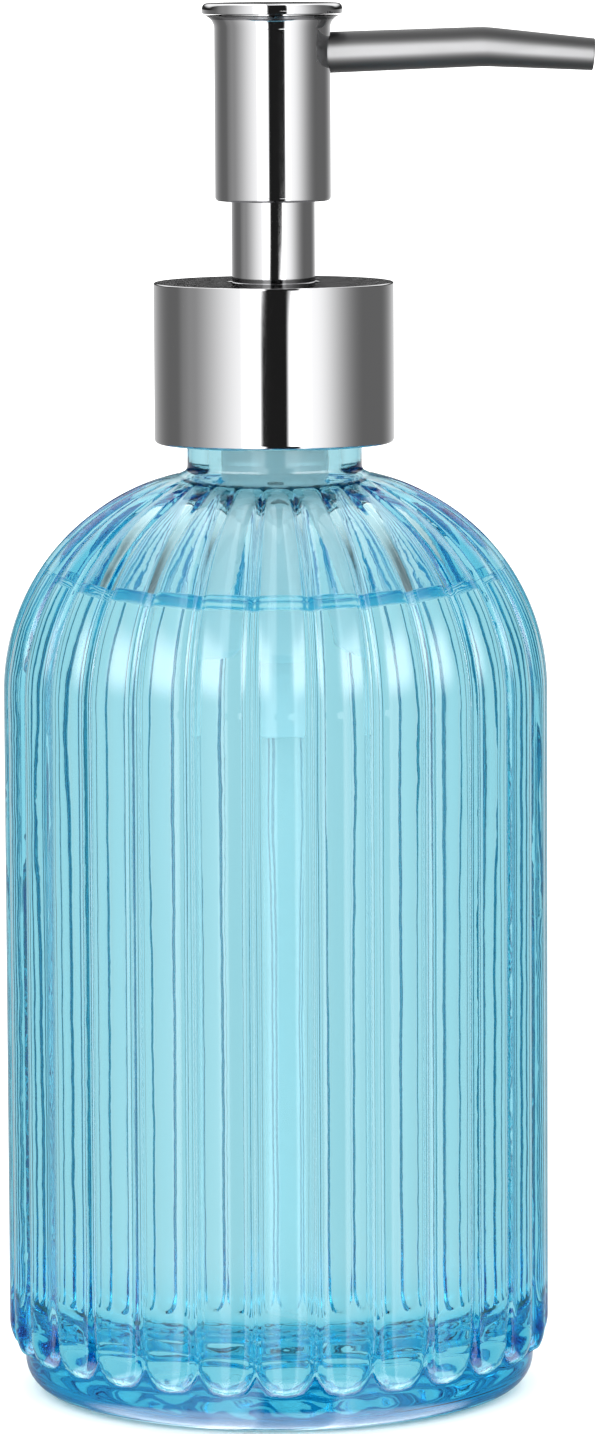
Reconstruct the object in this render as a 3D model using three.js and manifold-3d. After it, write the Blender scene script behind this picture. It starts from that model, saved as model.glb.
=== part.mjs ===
// Soap pump dispenser: a ribbed glass bottle with a screw-on stainless steel lotion pump.
// Millimetres, +Z up. The origin is the centre of the bottle's flat base. The spout points along +X.
import * as THREE from "three";
import { mergeVertices } from "three/addons/utils/BufferGeometryUtils.js";
import Module from "manifold-3d";

const wasm = await Module();
wasm.setup();

// ---------------------------------------------------------------- driving dimensions

const GAP = 0.3; // between pieces that touch on the real dispenser
const SLIDE_GAP = 0.2; // around a tube that is pushed into its seat

// Ribbed glass bottle.
const RIB_COUNT = 28;
const BODY_RADIUS = 38.75; // over the ribs' crests
const RIB_RISE = 1.5; // crest above valley
const RIB_END_HEIGHT = 6.0; // lowest point of a rib's round end
const DRUM_RADIUS = 36.5; // plain band under the rib ends
const FOOT_RADIUS = 32; // edge of the flat base
const HEEL_HEIGHT = 4.6;
const SHOULDER_START = 100.3;
const SHOULDER_ARC = 31.6; // radius of the shoulder's arc in section
const WALL = 2.65; // glass under a valley
const FLOOR_TOP = 7.2;
const NECK_RADIUS = 12.4;
const NECK_BORE = 9.4;
const LIP_TOP = 151.3;

// Screw thread of a 28-400 neck: six threads to the inch, one and a quarter turns.
const THREAD_PITCH = 25.4 / 6;
const THREAD_TURNS = 1.25;
const THREAD_CREST = 13.7; // on the glass
const CAP_THREAD_CREST = 12.8; // inside the threaded cap
const THREAD_TOP = 148.0; // centre line of the glass thread at its upper end

// Stainless steel collar.
const COLLAR_RADIUS = 17.0;
const COLLAR_TOP = 158.4;
const COLLAR_BOTTOM = 135.7;
const SHEET = 0.5; // thickness of the drawn steel shells

// Pump head, spout and stem.
const HEAD_RADIUS = 8.2;
const HEAD_BOTTOM = 169.9;
const HEAD_TOP = 197.7;
const RIM_RADIUS = 9.94;
const SLEEVE_RADIUS = 5.9;
const SPOUT_REACH = 45.4; // from the pump's axis to the spout's tip
const SPOUT_HEIGHT = 190.7; // spout axis where it leaves the head
const STEM_RADIUS = 3.2;

// Pump barrel, from the neck down to the dip tube.
const MOUTH_FLOOR = 138.0; // the wide mouth ends on a ledge, and the cylinder begins
const CYLINDER_BORE = 6.5;
const BARREL_FLOOR = 104.9; // inside, where the ball's seat is
const BARREL_END = 103.6; // outside, where the barrel steps in to the tube's socket
const SOCKET_END = 95.0;
const TUBE_RADIUS = 3.1;
const TUBE_BOTTOM = 10.5;
const BALL_RADIUS = 2.0;
const SOCKET_TOP = BARREL_FLOOR - 1.6;

// Facets round a full turn.
const FINE = 40;
const MEDIUM = 28;
const COARSE = 20;

// ---------------------------------------------------------------- shape helpers

const rad = THREE.MathUtils.degToRad;

// Points [radius, height] on an arc, both ends included.
function arc(centreR, centreZ, radius, fromDeg, toDeg, steps) {
  return Array.from({ length: steps + 1 }, (_, i) => {
    const angle = rad(fromDeg + ((toDeg - fromDeg) * i) / steps);
    return [centreR + radius * Math.cos(angle), centreZ + radius * Math.sin(angle)];
  });
}

// Solid of revolution about +Z. The profile runs anticlockwise, with the radius to the right.
// It either starts and ends on the axis or closes on itself.
function revolve(profile, segments) {
  const points = profile.map(([r, z]) => new THREE.Vector2(r, z));
  const [first, last] = [points[0], points[points.length - 1]];
  if (first.x > 0 || last.x > 0) points.push(first.clone());
  return new THREE.LatheGeometry(points, segments).rotateX(Math.PI / 2);
}

// Closed skin over a list of rings, each ring a list of Vector3 of the same length.
// With loop, the last ring joins the first; otherwise both ends are closed with a fan.
function skin(rings, loop = false) {
  const count = rings[0].length;
  const positions = rings.flat().flatMap((p) => [p.x, p.y, p.z]);
  const index = [];
  const last = loop ? rings.length : rings.length - 1;
  for (let i = 0; i < last; i++) {
    const next = (i + 1) % rings.length;
    for (let j = 0; j < count; j++) {
      const k = (j + 1) % count;
      index.push(i * count + j, i * count + k, next * count + k);
      index.push(i * count + j, next * count + k, next * count + j);
    }
  }
  if (!loop) {
    const centres = [rings[0], rings[rings.length - 1]].map((ring) =>
      ring.reduce((sum, p) => sum.add(p), new THREE.Vector3()).divideScalar(count),
    );
    const [start, end] = [rings.length * count, rings.length * count + 1];
    positions.push(...centres.flatMap((c) => [c.x, c.y, c.z]));
    const top = (rings.length - 1) * count;
    for (let j = 0; j < count; j++) {
      const k = (j + 1) % count;
      index.push(start, k, j);
      index.push(end, top + j, top + k);
    }
  }
  const geometry = new THREE.BufferGeometry();
  geometry.setAttribute("position", new THREE.Float32BufferAttribute(positions, 3));
  geometry.setIndex(index);
  return geometry;
}

// A geometry as a solid that can be cut and joined.
function solid(geometry) {
  const bare = geometry.clone();
  bare.deleteAttribute("normal");
  bare.deleteAttribute("uv");
  const merged = mergeVertices(bare, 1e-4);
  return new wasm.Manifold(
    new wasm.Mesh({
      numProp: 3,
      vertProperties: new Float32Array(merged.attributes.position.array),
      triVerts: new Uint32Array(merged.index.array),
    }),
  );
}

// A solid back as a geometry.
function geometryOf(body) {
  const mesh = body.getMesh();
  const positions = [];
  for (let i = 0; i < mesh.numVert; i++) {
    positions.push(...mesh.vertProperties.subarray(i * mesh.numProp, i * mesh.numProp + 3));
  }
  const geometry = new THREE.BufferGeometry();
  geometry.setAttribute("position", new THREE.Float32BufferAttribute(positions, 3));
  geometry.setIndex(Array.from(mesh.triVerts));
  return geometry;
}

const subtract = (geometry, ...cutters) =>
  geometryOf(cutters.reduce((body, cutter) => body.subtract(solid(cutter)), solid(geometry)));

const join = (geometry, other) => geometryOf(solid(geometry).add(solid(other)));

// Cylinder lying along +X from x = start to x = end, tipped up by tiltDeg about its point over the axis.
function rodAlongX(radius, start, end, height, tiltDeg, segments) {
  const rod = new THREE.CylinderGeometry(radius, radius, end - start, segments);
  rod.rotateZ(Math.PI / 2).translate((start + end) / 2, 0, 0);
  return rod.rotateY(-rad(tiltDeg)).translate(0, 0, height);
}

// ---------------------------------------------------------------- materials

const steel = new THREE.MeshStandardMaterial({ color: 0xd4d4d8, roughness: 0.12, metalness: 1.0 });
const springSteel = new THREE.MeshStandardMaterial({ color: 0xb9bcc0, roughness: 0.3, metalness: 1.0 });
const whitePlastic = new THREE.MeshStandardMaterial({ color: 0xeef1f2, roughness: 0.45 });
const darkPlastic = new THREE.MeshStandardMaterial({ color: 0x2a2c2f, roughness: 0.5 });
const clearPlastic = new THREE.MeshStandardMaterial({
  color: 0xdfeef2,
  roughness: 0.3,
  transparent: true,
  opacity: 0.5,
});
const rubber = new THREE.MeshStandardMaterial({ color: 0xd9dcd8, roughness: 0.8 });
const blueGlass = new THREE.MeshStandardMaterial({
  color: 0x7cc8dc,
  roughness: 0.05,
  transparent: true,
  opacity: 0.4,
});

// ---------------------------------------------------------------- glass bottle

const SHOULDER_CENTRE = BODY_RADIUS - SHOULDER_ARC; // radius at which the shoulder's arc is centred
const RIB_ANGLE = 360 / RIB_COUNT;
const RIB_PITCH = (2 * Math.PI * BODY_RADIUS) / RIB_COUNT;

// Height of a rib's round face above the valleys, for u from -0.5 to 0.5 across the rib.
function ribFace(u) {
  const half = RIB_PITCH / 2;
  const faceRadius = (half * half + RIB_RISE * RIB_RISE) / (2 * RIB_RISE);
  return Math.sqrt(faceRadius ** 2 - (u * RIB_PITCH) ** 2) - (faceRadius - RIB_RISE);
}

// Share of its full height that a rib has reached at height z, above its half-round end.
function ribEnd(u, z) {
  const endRadius = RIB_PITCH / 2;
  const roundOver = 2.6; // height in which the rib's end curves out from the drum
  const start = RIB_END_HEIGHT + endRadius - Math.sqrt(endRadius ** 2 - (u * RIB_PITCH) ** 2);
  const rise = THREE.MathUtils.clamp((z - start) / roundOver, 0, 1);
  return Math.sqrt(1 - (1 - rise) ** 2);
}

// Share of the rib's height left on the shoulder, where the ribs run out below the neck.
function ribFade(arcDeg) {
  const [fadeStart, fadeEnd] = [30, 77];
  const along = THREE.MathUtils.clamp((arcDeg - fadeStart) / (fadeEnd - fadeStart), 0, 1);
  return 1 - along * along * (3 - 2 * along);
}

// One ring of the bottle's outside: a point for each of four steps across every rib.
function bottleRing(pointAt) {
  const steps = 4;
  return Array.from({ length: RIB_COUNT * steps }, (_, i) => {
    const u = ((i % steps) / steps + 0.5) % 1;
    const across = u - Math.round(u); // from -0.5 to 0.5, and 0 on the crest
    const angle = rad(-90 + (i / steps - 0.5) * RIB_ANGLE);
    const [r, z] = pointAt(across === 0.5 ? -0.5 : across);
    return new THREE.Vector3(r * Math.cos(angle), r * Math.sin(angle), z);
  });
}

function bottleOutside() {
  const ribFootHeights = [6.5, 8.0, 10.2, 13.2]; // closer where the ribs' ends curve out
  const shoulderDegs = [0, 14, 28, 42, 55, 68, 80];
  const plain = ([r, z]) => bottleRing(() => [r, z]);
  const heelWidth = DRUM_RADIUS - FOOT_RADIUS;
  const heel = arc(0, 0, 1, -90, 0, 3).map(([x, y]) => [
    FOOT_RADIUS + heelWidth * x,
    HEEL_HEIGHT * (1 + y),
  ]);
  const ribFoot = ribFootHeights.map((z) =>
    bottleRing((u) => {
      const full = BODY_RADIUS - RIB_RISE - DRUM_RADIUS + ribFace(u);
      return [DRUM_RADIUS + full * ribEnd(u, z), z];
    }),
  );
  const shoulder = shoulderDegs.map((deg) =>
    bottleRing((u) => {
      const radius = SHOULDER_ARC - (RIB_RISE - ribFace(u)) * ribFade(deg);
      return arc(SHOULDER_CENTRE, SHOULDER_START, radius, deg, deg, 1)[0];
    }),
  );
  return skin([...heel.map(plain), ...ribFoot, ...shoulder]);
}

function bottleNeck() {
  const lipRound = 0.8;
  const sunk = 6; // how far the neck starts inside the shoulder
  return revolve(
    [
      [0, SHOULDER_START + SHOULDER_ARC - sunk],
      [NECK_RADIUS, SHOULDER_START + SHOULDER_ARC - sunk],
      [NECK_RADIUS, LIP_TOP - lipRound],
      [NECK_RADIUS - lipRound, LIP_TOP],
      [0, LIP_TOP],
    ],
    FINE,
  );
}

// The space inside the bottle, reaching up through the neck.
function bottleInside() {
  const bodyBore = BODY_RADIUS - RIB_RISE - WALL;
  const cornerRadius = 9;
  const shoulderArc = bodyBore - SHOULDER_CENTRE;
  const neckDeg = THREE.MathUtils.radToDeg(Math.acos((NECK_BORE - SHOULDER_CENTRE) / shoulderArc));
  return revolve(
    [
      [0, FLOOR_TOP],
      ...arc(bodyBore - cornerRadius, FLOOR_TOP + cornerRadius, cornerRadius, -90, 0, 4),
      ...arc(SHOULDER_CENTRE, SHOULDER_START, shoulderArc, 0, neckDeg, 5),
      [NECK_BORE, LIP_TOP + 1],
      [0, LIP_TOP + 1],
    ],
    FINE,
  );
}

// Thread bead wound about +Z: rootZ and crestZ are its half widths at the root and crest radii.
// It starts at height zStart at angle fromDeg, climbs one pitch a turn, and fades at both ends.
function threadBead({ root, crest, rootZ, crestZ, zStart, fromDeg }) {
  const stepDeg = 18;
  const steps = Math.round((THREAD_TURNS * 360) / stepDeg);
  const fadeSteps = 2;
  const rings = [];
  for (let i = 0; i <= steps; i++) {
    const angle = rad(fromDeg + i * stepDeg);
    const z = zStart + (THREAD_PITCH * i * stepDeg) / 360;
    const height = Math.min(1, (Math.min(i, steps - i) + 0.4) / fadeSteps);
    const tip = root + (crest - root) * height;
    const section = [
      [root, z - rootZ],
      [tip, z - crestZ],
      [tip, z + crestZ],
      [root, z + rootZ],
    ];
    if (crest < root) section.reverse();
    rings.push(
      section.map(([r, h]) => new THREE.Vector3(r * Math.cos(angle), r * Math.sin(angle), h)),
    );
  }
  return skin(rings.map((ring) => ring.reverse()));
}

const THREAD_CLIMB = THREAD_PITCH * THREAD_TURNS;
const THREAD_FROM = -30; // angle of the glass thread's lower end, in degrees

function glassBottle() {
  const thread = threadBead({
    root: NECK_RADIUS - 0.5,
    crest: THREAD_CREST,
    rootZ: 1.5,
    crestZ: 0.5,
    zStart: THREAD_TOP - THREAD_CLIMB,
    fromDeg: THREAD_FROM,
  });
  return subtract(join(join(bottleOutside(), bottleNeck()), thread), bottleInside());
}

// ---------------------------------------------------------------- collar

const COLLAR_PLATE = 0.6; // top plate of the steel shell
const CAP_TOP = COLLAR_TOP - COLLAR_PLATE - GAP;
const CAP_PLATE = 1.6;
const CAP_RADIUS = COLLAR_RADIUS - SHEET - GAP;
const CAP_BORE = THREAD_CREST + 0.35;
const GUIDE_NECK_RADIUS = 8.6;
const FLANGE_RADIUS = 12.8;

function collarShell() {
  const edge = 0.6; // round at the lower edge
  const bevel = 0.2;
  const holeRadius = SLEEVE_RADIUS + 0.7;
  const inner = COLLAR_RADIUS - SHEET;
  return revolve(
    [
      [inner, COLLAR_BOTTOM + bevel],
      [inner + 0.05, COLLAR_BOTTOM],
      ...arc(COLLAR_RADIUS - edge, COLLAR_BOTTOM + edge, edge, -75, 0, 3),
      [COLLAR_RADIUS, COLLAR_TOP - bevel],
      [COLLAR_RADIUS - bevel, COLLAR_TOP],
      [holeRadius, COLLAR_TOP],
      [holeRadius, COLLAR_TOP - COLLAR_PLATE],
      [inner, COLLAR_TOP - COLLAR_PLATE],
    ],
    FINE,
  );
}

function threadedCap() {
  const bottom = COLLAR_BOTTOM + 0.6;
  const hole = GUIDE_NECK_RADIUS + GAP;
  const body = revolve(
    [
      [CAP_BORE, bottom],
      [CAP_RADIUS, bottom],
      [CAP_RADIUS, CAP_TOP],
      [hole, CAP_TOP],
      [hole, CAP_TOP - CAP_PLATE],
      [CAP_BORE, CAP_TOP - CAP_PLATE],
    ],
    FINE,
  );
  const underGlassThread = 1.75; // drop that leaves a gap between the two threads' flanks
  const thread = threadBead({
    root: CAP_BORE + 0.5,
    crest: CAP_THREAD_CREST,
    rootZ: 1.0,
    crestZ: 0.4,
    zStart: THREAD_TOP - THREAD_CLIMB - underGlassThread,
    fromDeg: THREAD_FROM,
  });
  return join(body, thread);
}

// ---------------------------------------------------------------- pump body

const GUIDE_FLANGE_TOP = CAP_TOP - CAP_PLATE - GAP;
const GUIDE_FLANGE_BOTTOM = GUIDE_FLANGE_TOP - 1.1;
const BARREL_TOP = GUIDE_FLANGE_BOTTOM - GAP;
const BARREL_FLANGE = 1.2;
const MOUTH_RADIUS = 8.6;
const MOUTH_BORE = 7.6;
const SEAL_TOP = 135.6;

// Insert that closes the barrel's mouth. It guides the sleeve and the stem, and its hub stops the piston.
function stemGuide() {
  const sleeveBore = SLEEVE_RADIUS + GAP;
  const stemBore = STEM_RADIUS + GAP;
  const skirtRadius = MOUTH_BORE - GAP;
  const skirtBottom = MOUTH_FLOOR + GAP;
  const hubRadius = 5.2;
  const hubBottom = SEAL_TOP + 0.4;
  const floorTop = skirtBottom + 0.9;
  const neckTop = CAP_TOP - 0.1;
  return revolve(
    [
      [stemBore, hubBottom],
      [hubRadius, hubBottom],
      [hubRadius, skirtBottom],
      [skirtRadius, skirtBottom],
      [skirtRadius, GUIDE_FLANGE_BOTTOM],
      [FLANGE_RADIUS, GUIDE_FLANGE_BOTTOM],
      [FLANGE_RADIUS, GUIDE_FLANGE_TOP],
      [GUIDE_NECK_RADIUS, GUIDE_FLANGE_TOP],
      [GUIDE_NECK_RADIUS, neckTop],
      [sleeveBore, neckTop],
      [sleeveBore, floorTop],
      [stemBore, floorTop],
    ],
    MEDIUM,
  );
}

// Housing of the pump: a flange that hangs it on the neck, a mouth, the cylinder and the tube's socket.
function pumpBarrel() {
  const cylinderRadius = CYLINDER_BORE + 1.1;
  const socketBore = TUBE_RADIUS + SLIDE_GAP;
  const socketRadius = socketBore + 0.9;
  const inletRadius = 1.4;
  const seatRadius = 1.7;
  const [ventRadius, ventHeight, ventStretch] = [0.6, 127.6, 2];
  const body = revolve(
    [
      [socketBore, SOCKET_END],
      [socketRadius, SOCKET_END],
      [socketRadius, BARREL_END],
      [cylinderRadius - 1, BARREL_END],
      [cylinderRadius, BARREL_END + 1],
      [cylinderRadius, MOUTH_FLOOR - 1.4],
      [MOUTH_RADIUS, MOUTH_FLOOR - 0.4],
      [MOUTH_RADIUS, BARREL_TOP - BARREL_FLANGE],
      [FLANGE_RADIUS, BARREL_TOP - BARREL_FLANGE],
      [FLANGE_RADIUS, BARREL_TOP],
      [MOUTH_BORE, BARREL_TOP],
      [MOUTH_BORE, MOUTH_FLOOR],
      [CYLINDER_BORE, MOUTH_FLOOR],
      [CYLINDER_BORE, BARREL_FLOOR],
      [seatRadius, BARREL_FLOOR],
      [inletRadius, BARREL_FLOOR - 0.4],
      [inletRadius, SOCKET_TOP],
      [socketBore, SOCKET_TOP],
    ],
    MEDIUM,
  );
  const vent = new THREE.CylinderGeometry(ventRadius, ventRadius, cylinderRadius + 1, 12);
  vent.scale(ventStretch, 1, 1).translate(0, -(cylinderRadius + 1) / 2, ventHeight);
  return subtract(body, vent);
}

// Soft washer between the barrel's flange and the bottle's lip.
function neckGasket() {
  const [bottom, top] = [LIP_TOP + GAP, BARREL_TOP - BARREL_FLANGE - GAP];
  return revolve(
    [
      [MOUTH_RADIUS + GAP, bottom],
      [NECK_RADIUS, bottom],
      [NECK_RADIUS, top],
      [MOUTH_RADIUS + GAP, top],
    ],
    MEDIUM,
  );
}

// Tube that draws from the floor of the bottle, with a slanted lower end.
function dipTube() {
  const bore = TUBE_RADIUS - 0.7;
  const top = SOCKET_TOP - GAP;
  const slant = Math.tan(rad(22));
  const tube = revolve(
    [
      [bore, TUBE_BOTTOM],
      [TUBE_RADIUS, TUBE_BOTTOM],
      [TUBE_RADIUS, top],
      [bore, top],
    ],
    COARSE,
  );
  const position = tube.attributes.position;
  for (let i = 0; i < position.count; i++) {
    if (position.getZ(i) > TUBE_BOTTOM + 1) continue;
    position.setZ(i, TUBE_BOTTOM + (TUBE_RADIUS + position.getX(i)) * slant);
  }
  return tube;
}

// ---------------------------------------------------------------- inlet valve and spring

const RETAINER_FLANGE = 0.6;
const RETAINER_BOTTOM = BARREL_FLOOR + GAP;
const RETAINER_TOP = 111.2;
const SPRING_RADIUS = 3.4; // to the middle of the wire
const WIRE_RADIUS = 0.42;

// Cage over the check ball. The spring stands on its flange.
function ballRetainer() {
  const flangeRadius = CYLINDER_BORE - SLIDE_GAP;
  const wallOut = SPRING_RADIUS - WIRE_RADIUS - 0.23;
  const wallIn = BALL_RADIUS + 0.25;
  const roof = 0.7;
  const roofHole = 1.2;
  const body = revolve(
    [
      [wallIn, RETAINER_BOTTOM],
      [flangeRadius, RETAINER_BOTTOM],
      [flangeRadius, RETAINER_BOTTOM + RETAINER_FLANGE],
      [wallOut, RETAINER_BOTTOM + RETAINER_FLANGE],
      [wallOut, RETAINER_TOP],
      [roofHole, RETAINER_TOP],
      [roofHole, RETAINER_TOP - roof],
      [wallIn, RETAINER_TOP - roof],
    ],
    COARSE,
  );
  const windows = [0, 120, 240].map((deg) => {
    const [width, height] = [1.8, 3.0];
    const box = new THREE.BoxGeometry(wallOut + 1, width, height);
    box.translate((wallOut + 1) / 2, 0, RETAINER_TOP - roof - 0.4 - height / 2);
    return box.rotateZ(rad(deg));
  });
  return subtract(body, ...windows);
}

function checkBall() {
  return new THREE.SphereGeometry(BALL_RADIUS, 14, 9);
}

const SPRING_BOTTOM = RETAINER_BOTTOM + RETAINER_FLANGE + 0.2;
const PLUG_WEB = 130.2; // underside of the stem plug's roof, where the spring pushes
const SPRING_TOP = PLUG_WEB - 0.2;

// Round wire wound with closed end coils.
function returnSpring() {
  const turns = 9.5;
  const stepsPerTurn = 10;
  const sides = 5;
  const steps = turns * stepsPerTurn;
  const closedPitch = 2 * WIRE_RADIUS + 0.06;
  const [low, high] = [SPRING_BOTTOM + WIRE_RADIUS, SPRING_TOP - WIRE_RADIUS];
  const openPitch = (high - low - 2 * closedPitch) / (turns - 2);
  const rings = [];
  for (let i = 0; i <= steps; i++) {
    const turn = i / stepsPerTurn;
    const closed = Math.min(turn, 1) + Math.max(0, turn - (turns - 1));
    const open = THREE.MathUtils.clamp(turn - 1, 0, turns - 2);
    const z = low + closed * closedPitch + open * openPitch;
    const angle = 2 * Math.PI * turn;
    const ring = [];
    for (let j = 0; j < sides; j++) {
      const around = (2 * Math.PI * j) / sides;
      const r = SPRING_RADIUS + WIRE_RADIUS * Math.cos(around);
      const height = z + WIRE_RADIUS * Math.sin(around);
      ring.push(new THREE.Vector3(r * Math.cos(angle), r * Math.sin(angle), height));
    }
    rings.push(ring.reverse());
  }
  return skin(rings);
}

// ---------------------------------------------------------------- piston and stem

const SEAL_BOTTOM = 122.7;
const STEM_BORE = 1.7;
const STEM_BOTTOM = 131.7;
const STEM_TOP = 188.6;
const SLEEVE_BOTTOM = 150.7;
const SLEEVE_TOP = 185.0;
const SLEEVE_WALL = 0.4;
const PLUG_RADIUS = 4.6;
const PLUG_BORE = 4.1;

// Sleeve with two lips that slides in the barrel's cylinder. At rest its lips stand above and below
// the vent.
function pistonSeal() {
  const lip = CYLINDER_BORE - 0.15;
  const waist = lip - 0.75;
  const plugBore = PLUG_RADIUS + 0.25;
  const stemBore = STEM_RADIUS + 0.25;
  const lipHeight = 1.2;
  const shoulder = SEAL_TOP - 2.6;
  return revolve(
    [
      [plugBore, SEAL_BOTTOM + 0.3],
      [lip - 0.5, SEAL_BOTTOM],
      [lip, SEAL_BOTTOM + 0.2],
      [lip, SEAL_BOTTOM + lipHeight],
      [waist, SEAL_BOTTOM + lipHeight + 1],
      [waist, shoulder - lipHeight - 1],
      [lip, shoulder - lipHeight],
      [lip, shoulder],
      [stemBore + 1.2, shoulder],
      [stemBore + 1.2, SEAL_TOP],
      [stemBore, SEAL_TOP],
      [stemBore, shoulder + 0.8],
      [plugBore, shoulder + 0.1],
    ],
    MEDIUM,
  );
}

// Hollow stem. Two rings on it centre the steel sleeve, and slots at its foot let the soap in.
function pistonStem() {
  const ring = SLEEVE_RADIUS - SLEEVE_WALL - 0.25;
  const lowRing = [SLEEVE_BOTTOM + 1, SLEEVE_BOTTOM + 3.5];
  const highRing = [SLEEVE_TOP - 7, SLEEVE_TOP - 4];
  const chamfer = 0.4;
  const body = revolve(
    [
      [STEM_BORE, STEM_BOTTOM],
      [STEM_RADIUS, STEM_BOTTOM],
      [STEM_RADIUS, lowRing[0]],
      [ring, lowRing[0] + chamfer],
      [ring, lowRing[1]],
      [STEM_RADIUS, lowRing[1]],
      [STEM_RADIUS, highRing[0]],
      [ring, highRing[0]],
      [ring, highRing[1] - chamfer],
      [STEM_RADIUS, highRing[1]],
      [STEM_RADIUS, STEM_TOP],
      [STEM_BORE, STEM_TOP],
    ],
    COARSE,
  );
  const [slotWidth, slotHeight] = [1.2, 1.3];
  const slot = new THREE.BoxGeometry(3 * STEM_RADIUS, slotWidth, 2 * slotHeight);
  slot.translate(0, 0, STEM_BOTTOM);
  return subtract(body, slot);
}

// Plug in the stem's foot: a skirt over the spring's upper end, with a flange under the piston seal.
function stemPlug() {
  const flange = 5.6;
  const flangeTop = SEAL_BOTTOM - GAP;
  const flangeBottom = flangeTop - 0.8;
  const roofTop = STEM_BOTTOM - GAP;
  const shank = STEM_BORE - SLIDE_GAP;
  const shankTop = STEM_BOTTOM + 9;
  return revolve(
    [
      [PLUG_BORE, flangeBottom],
      [flange, flangeBottom],
      [flange, flangeTop],
      [PLUG_RADIUS, flangeTop],
      [PLUG_RADIUS, roofTop],
      [shank, roofTop],
      [shank, shankTop],
      [shank - 0.5, shankTop + 1],
      [0, shankTop + 1],
      [0, PLUG_WEB],
      [PLUG_BORE, PLUG_WEB],
    ],
    COARSE,
  );
}

function stemSleeve() {
  const bore = SLEEVE_RADIUS - SLEEVE_WALL;
  return revolve(
    [
      [bore, SLEEVE_BOTTOM],
      [SLEEVE_RADIUS - 0.15, SLEEVE_BOTTOM],
      [SLEEVE_RADIUS, SLEEVE_BOTTOM + 0.2],
      [SLEEVE_RADIUS, SLEEVE_TOP],
      [bore, SLEEVE_TOP],
    ],
    MEDIUM,
  );
}

// ---------------------------------------------------------------- head and spout

const SPOUT_START = 3.2; // inside the head, from the pump's axis
const SPOUT_RISE_DEG = 1.85; // up, from the head to the bend
const SPOUT_DROP_DEG = 4.4; // down, from the bend to the tip
const SPOUT_BEND_X = 29.9;
const SPOUT_ROOT_RADIUS = 2.92;
const SPOUT_BEND_RADIUS = 2.79;
const SPOUT_TIP_RADIUS = 2.26;
const SPOUT_WALL = 0.45;
// Height of the spout's axis where it would cross the pump's axis.
const SPOUT_AXIS_HEIGHT = SPOUT_HEIGHT - HEAD_RADIUS * Math.tan(rad(SPOUT_RISE_DEG));
const RIM_HEIGHT = 1.5;
const FLARE_HEIGHT = 1.8;
const SEAM = 0.15; // between the head's shell and its cap

function headShell() {
  const top = HEAD_TOP - RIM_HEIGHT - SEAM;
  const inner = HEAD_RADIUS - SHEET;
  const flareWidth = 1.35;
  const flareRadius = (flareWidth ** 2 + FLARE_HEIGHT ** 2) / (2 * flareWidth);
  const flareDeg = THREE.MathUtils.radToDeg(Math.asin(FLARE_HEIGHT / flareRadius));
  const flareBase = top - FLARE_HEIGHT;
  const edge = 0.55;
  const body = revolve(
    [
      [inner, HEAD_BOTTOM + 0.4],
      [inner + 0.15, HEAD_BOTTOM],
      ...arc(HEAD_RADIUS - edge, HEAD_BOTTOM + edge, edge, -60, 0, 3),
      ...arc(HEAD_RADIUS + flareRadius, flareBase, flareRadius, 180, 180 - flareDeg, 4),
      [HEAD_RADIUS + flareWidth - 0.7, top],
      [inner, flareBase + 0.2],
    ],
    FINE,
  );
  const [holeRadius, holeEnd] = [SPOUT_ROOT_RADIUS + GAP, HEAD_RADIUS + 3];
  const hole = rodAlongX(holeRadius, 0, holeEnd, SPOUT_AXIS_HEIGHT, SPOUT_RISE_DEG, COARSE);
  return subtract(body, hole);
}

const CAP_PLUG_RADIUS = 7.2;
const CAP_PLUG_HEIGHT = 1.0;

// Round-edged disc that closes the top of the head.
function headCap() {
  const bottom = HEAD_TOP - RIM_HEIGHT;
  const edge = 1.2;
  return revolve(
    [
      [0, bottom - CAP_PLUG_HEIGHT],
      [CAP_PLUG_RADIUS, bottom - CAP_PLUG_HEIGHT],
      [CAP_PLUG_RADIUS, bottom],
      [RIM_RADIUS - 0.25, bottom],
      ...arc(RIM_RADIUS - edge, HEAD_TOP - edge, edge, 0, 90, 4),
      [0, HEAD_TOP],
    ],
    FINE,
  );
}

// Plastic core inside the head: it grips the sleeve, the stem and the root of the spout.
function headCore() {
  const radius = HEAD_RADIUS - SHEET - GAP;
  const bottom = HEAD_BOTTOM + 2.6;
  const top = HEAD_TOP - RIM_HEIGHT - CAP_PLUG_HEIGHT - GAP;
  const sleeveSeatTop = SLEEVE_TOP + 0.4;
  const channel = 1.8;
  const body = revolve(
    [
      [SLEEVE_RADIUS + SLIDE_GAP, bottom],
      [radius, bottom],
      [radius, top],
      [0, top],
      [0, SPOUT_HEIGHT],
      [channel, SPOUT_HEIGHT],
      [channel, STEM_TOP + GAP],
      [STEM_RADIUS + 0.25, STEM_TOP + GAP],
      [STEM_RADIUS + 0.25, sleeveSeatTop],
      [SLEEVE_RADIUS + SLIDE_GAP, sleeveSeatTop],
    ],
    MEDIUM,
  );
  const socket = rodAlongX(
    SPOUT_ROOT_RADIUS + SLIDE_GAP,
    SPOUT_START - 0.4,
    radius + 2,
    SPOUT_AXIS_HEIGHT,
    SPOUT_RISE_DEG,
    COARSE,
  );
  const [boreRadius, boreEnd] = [channel - 0.2, SPOUT_START + 1];
  const passage = rodAlongX(boreRadius, 0, boreEnd, SPOUT_AXIS_HEIGHT, SPOUT_RISE_DEG, 12);
  return subtract(body, socket, passage);
}

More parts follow.
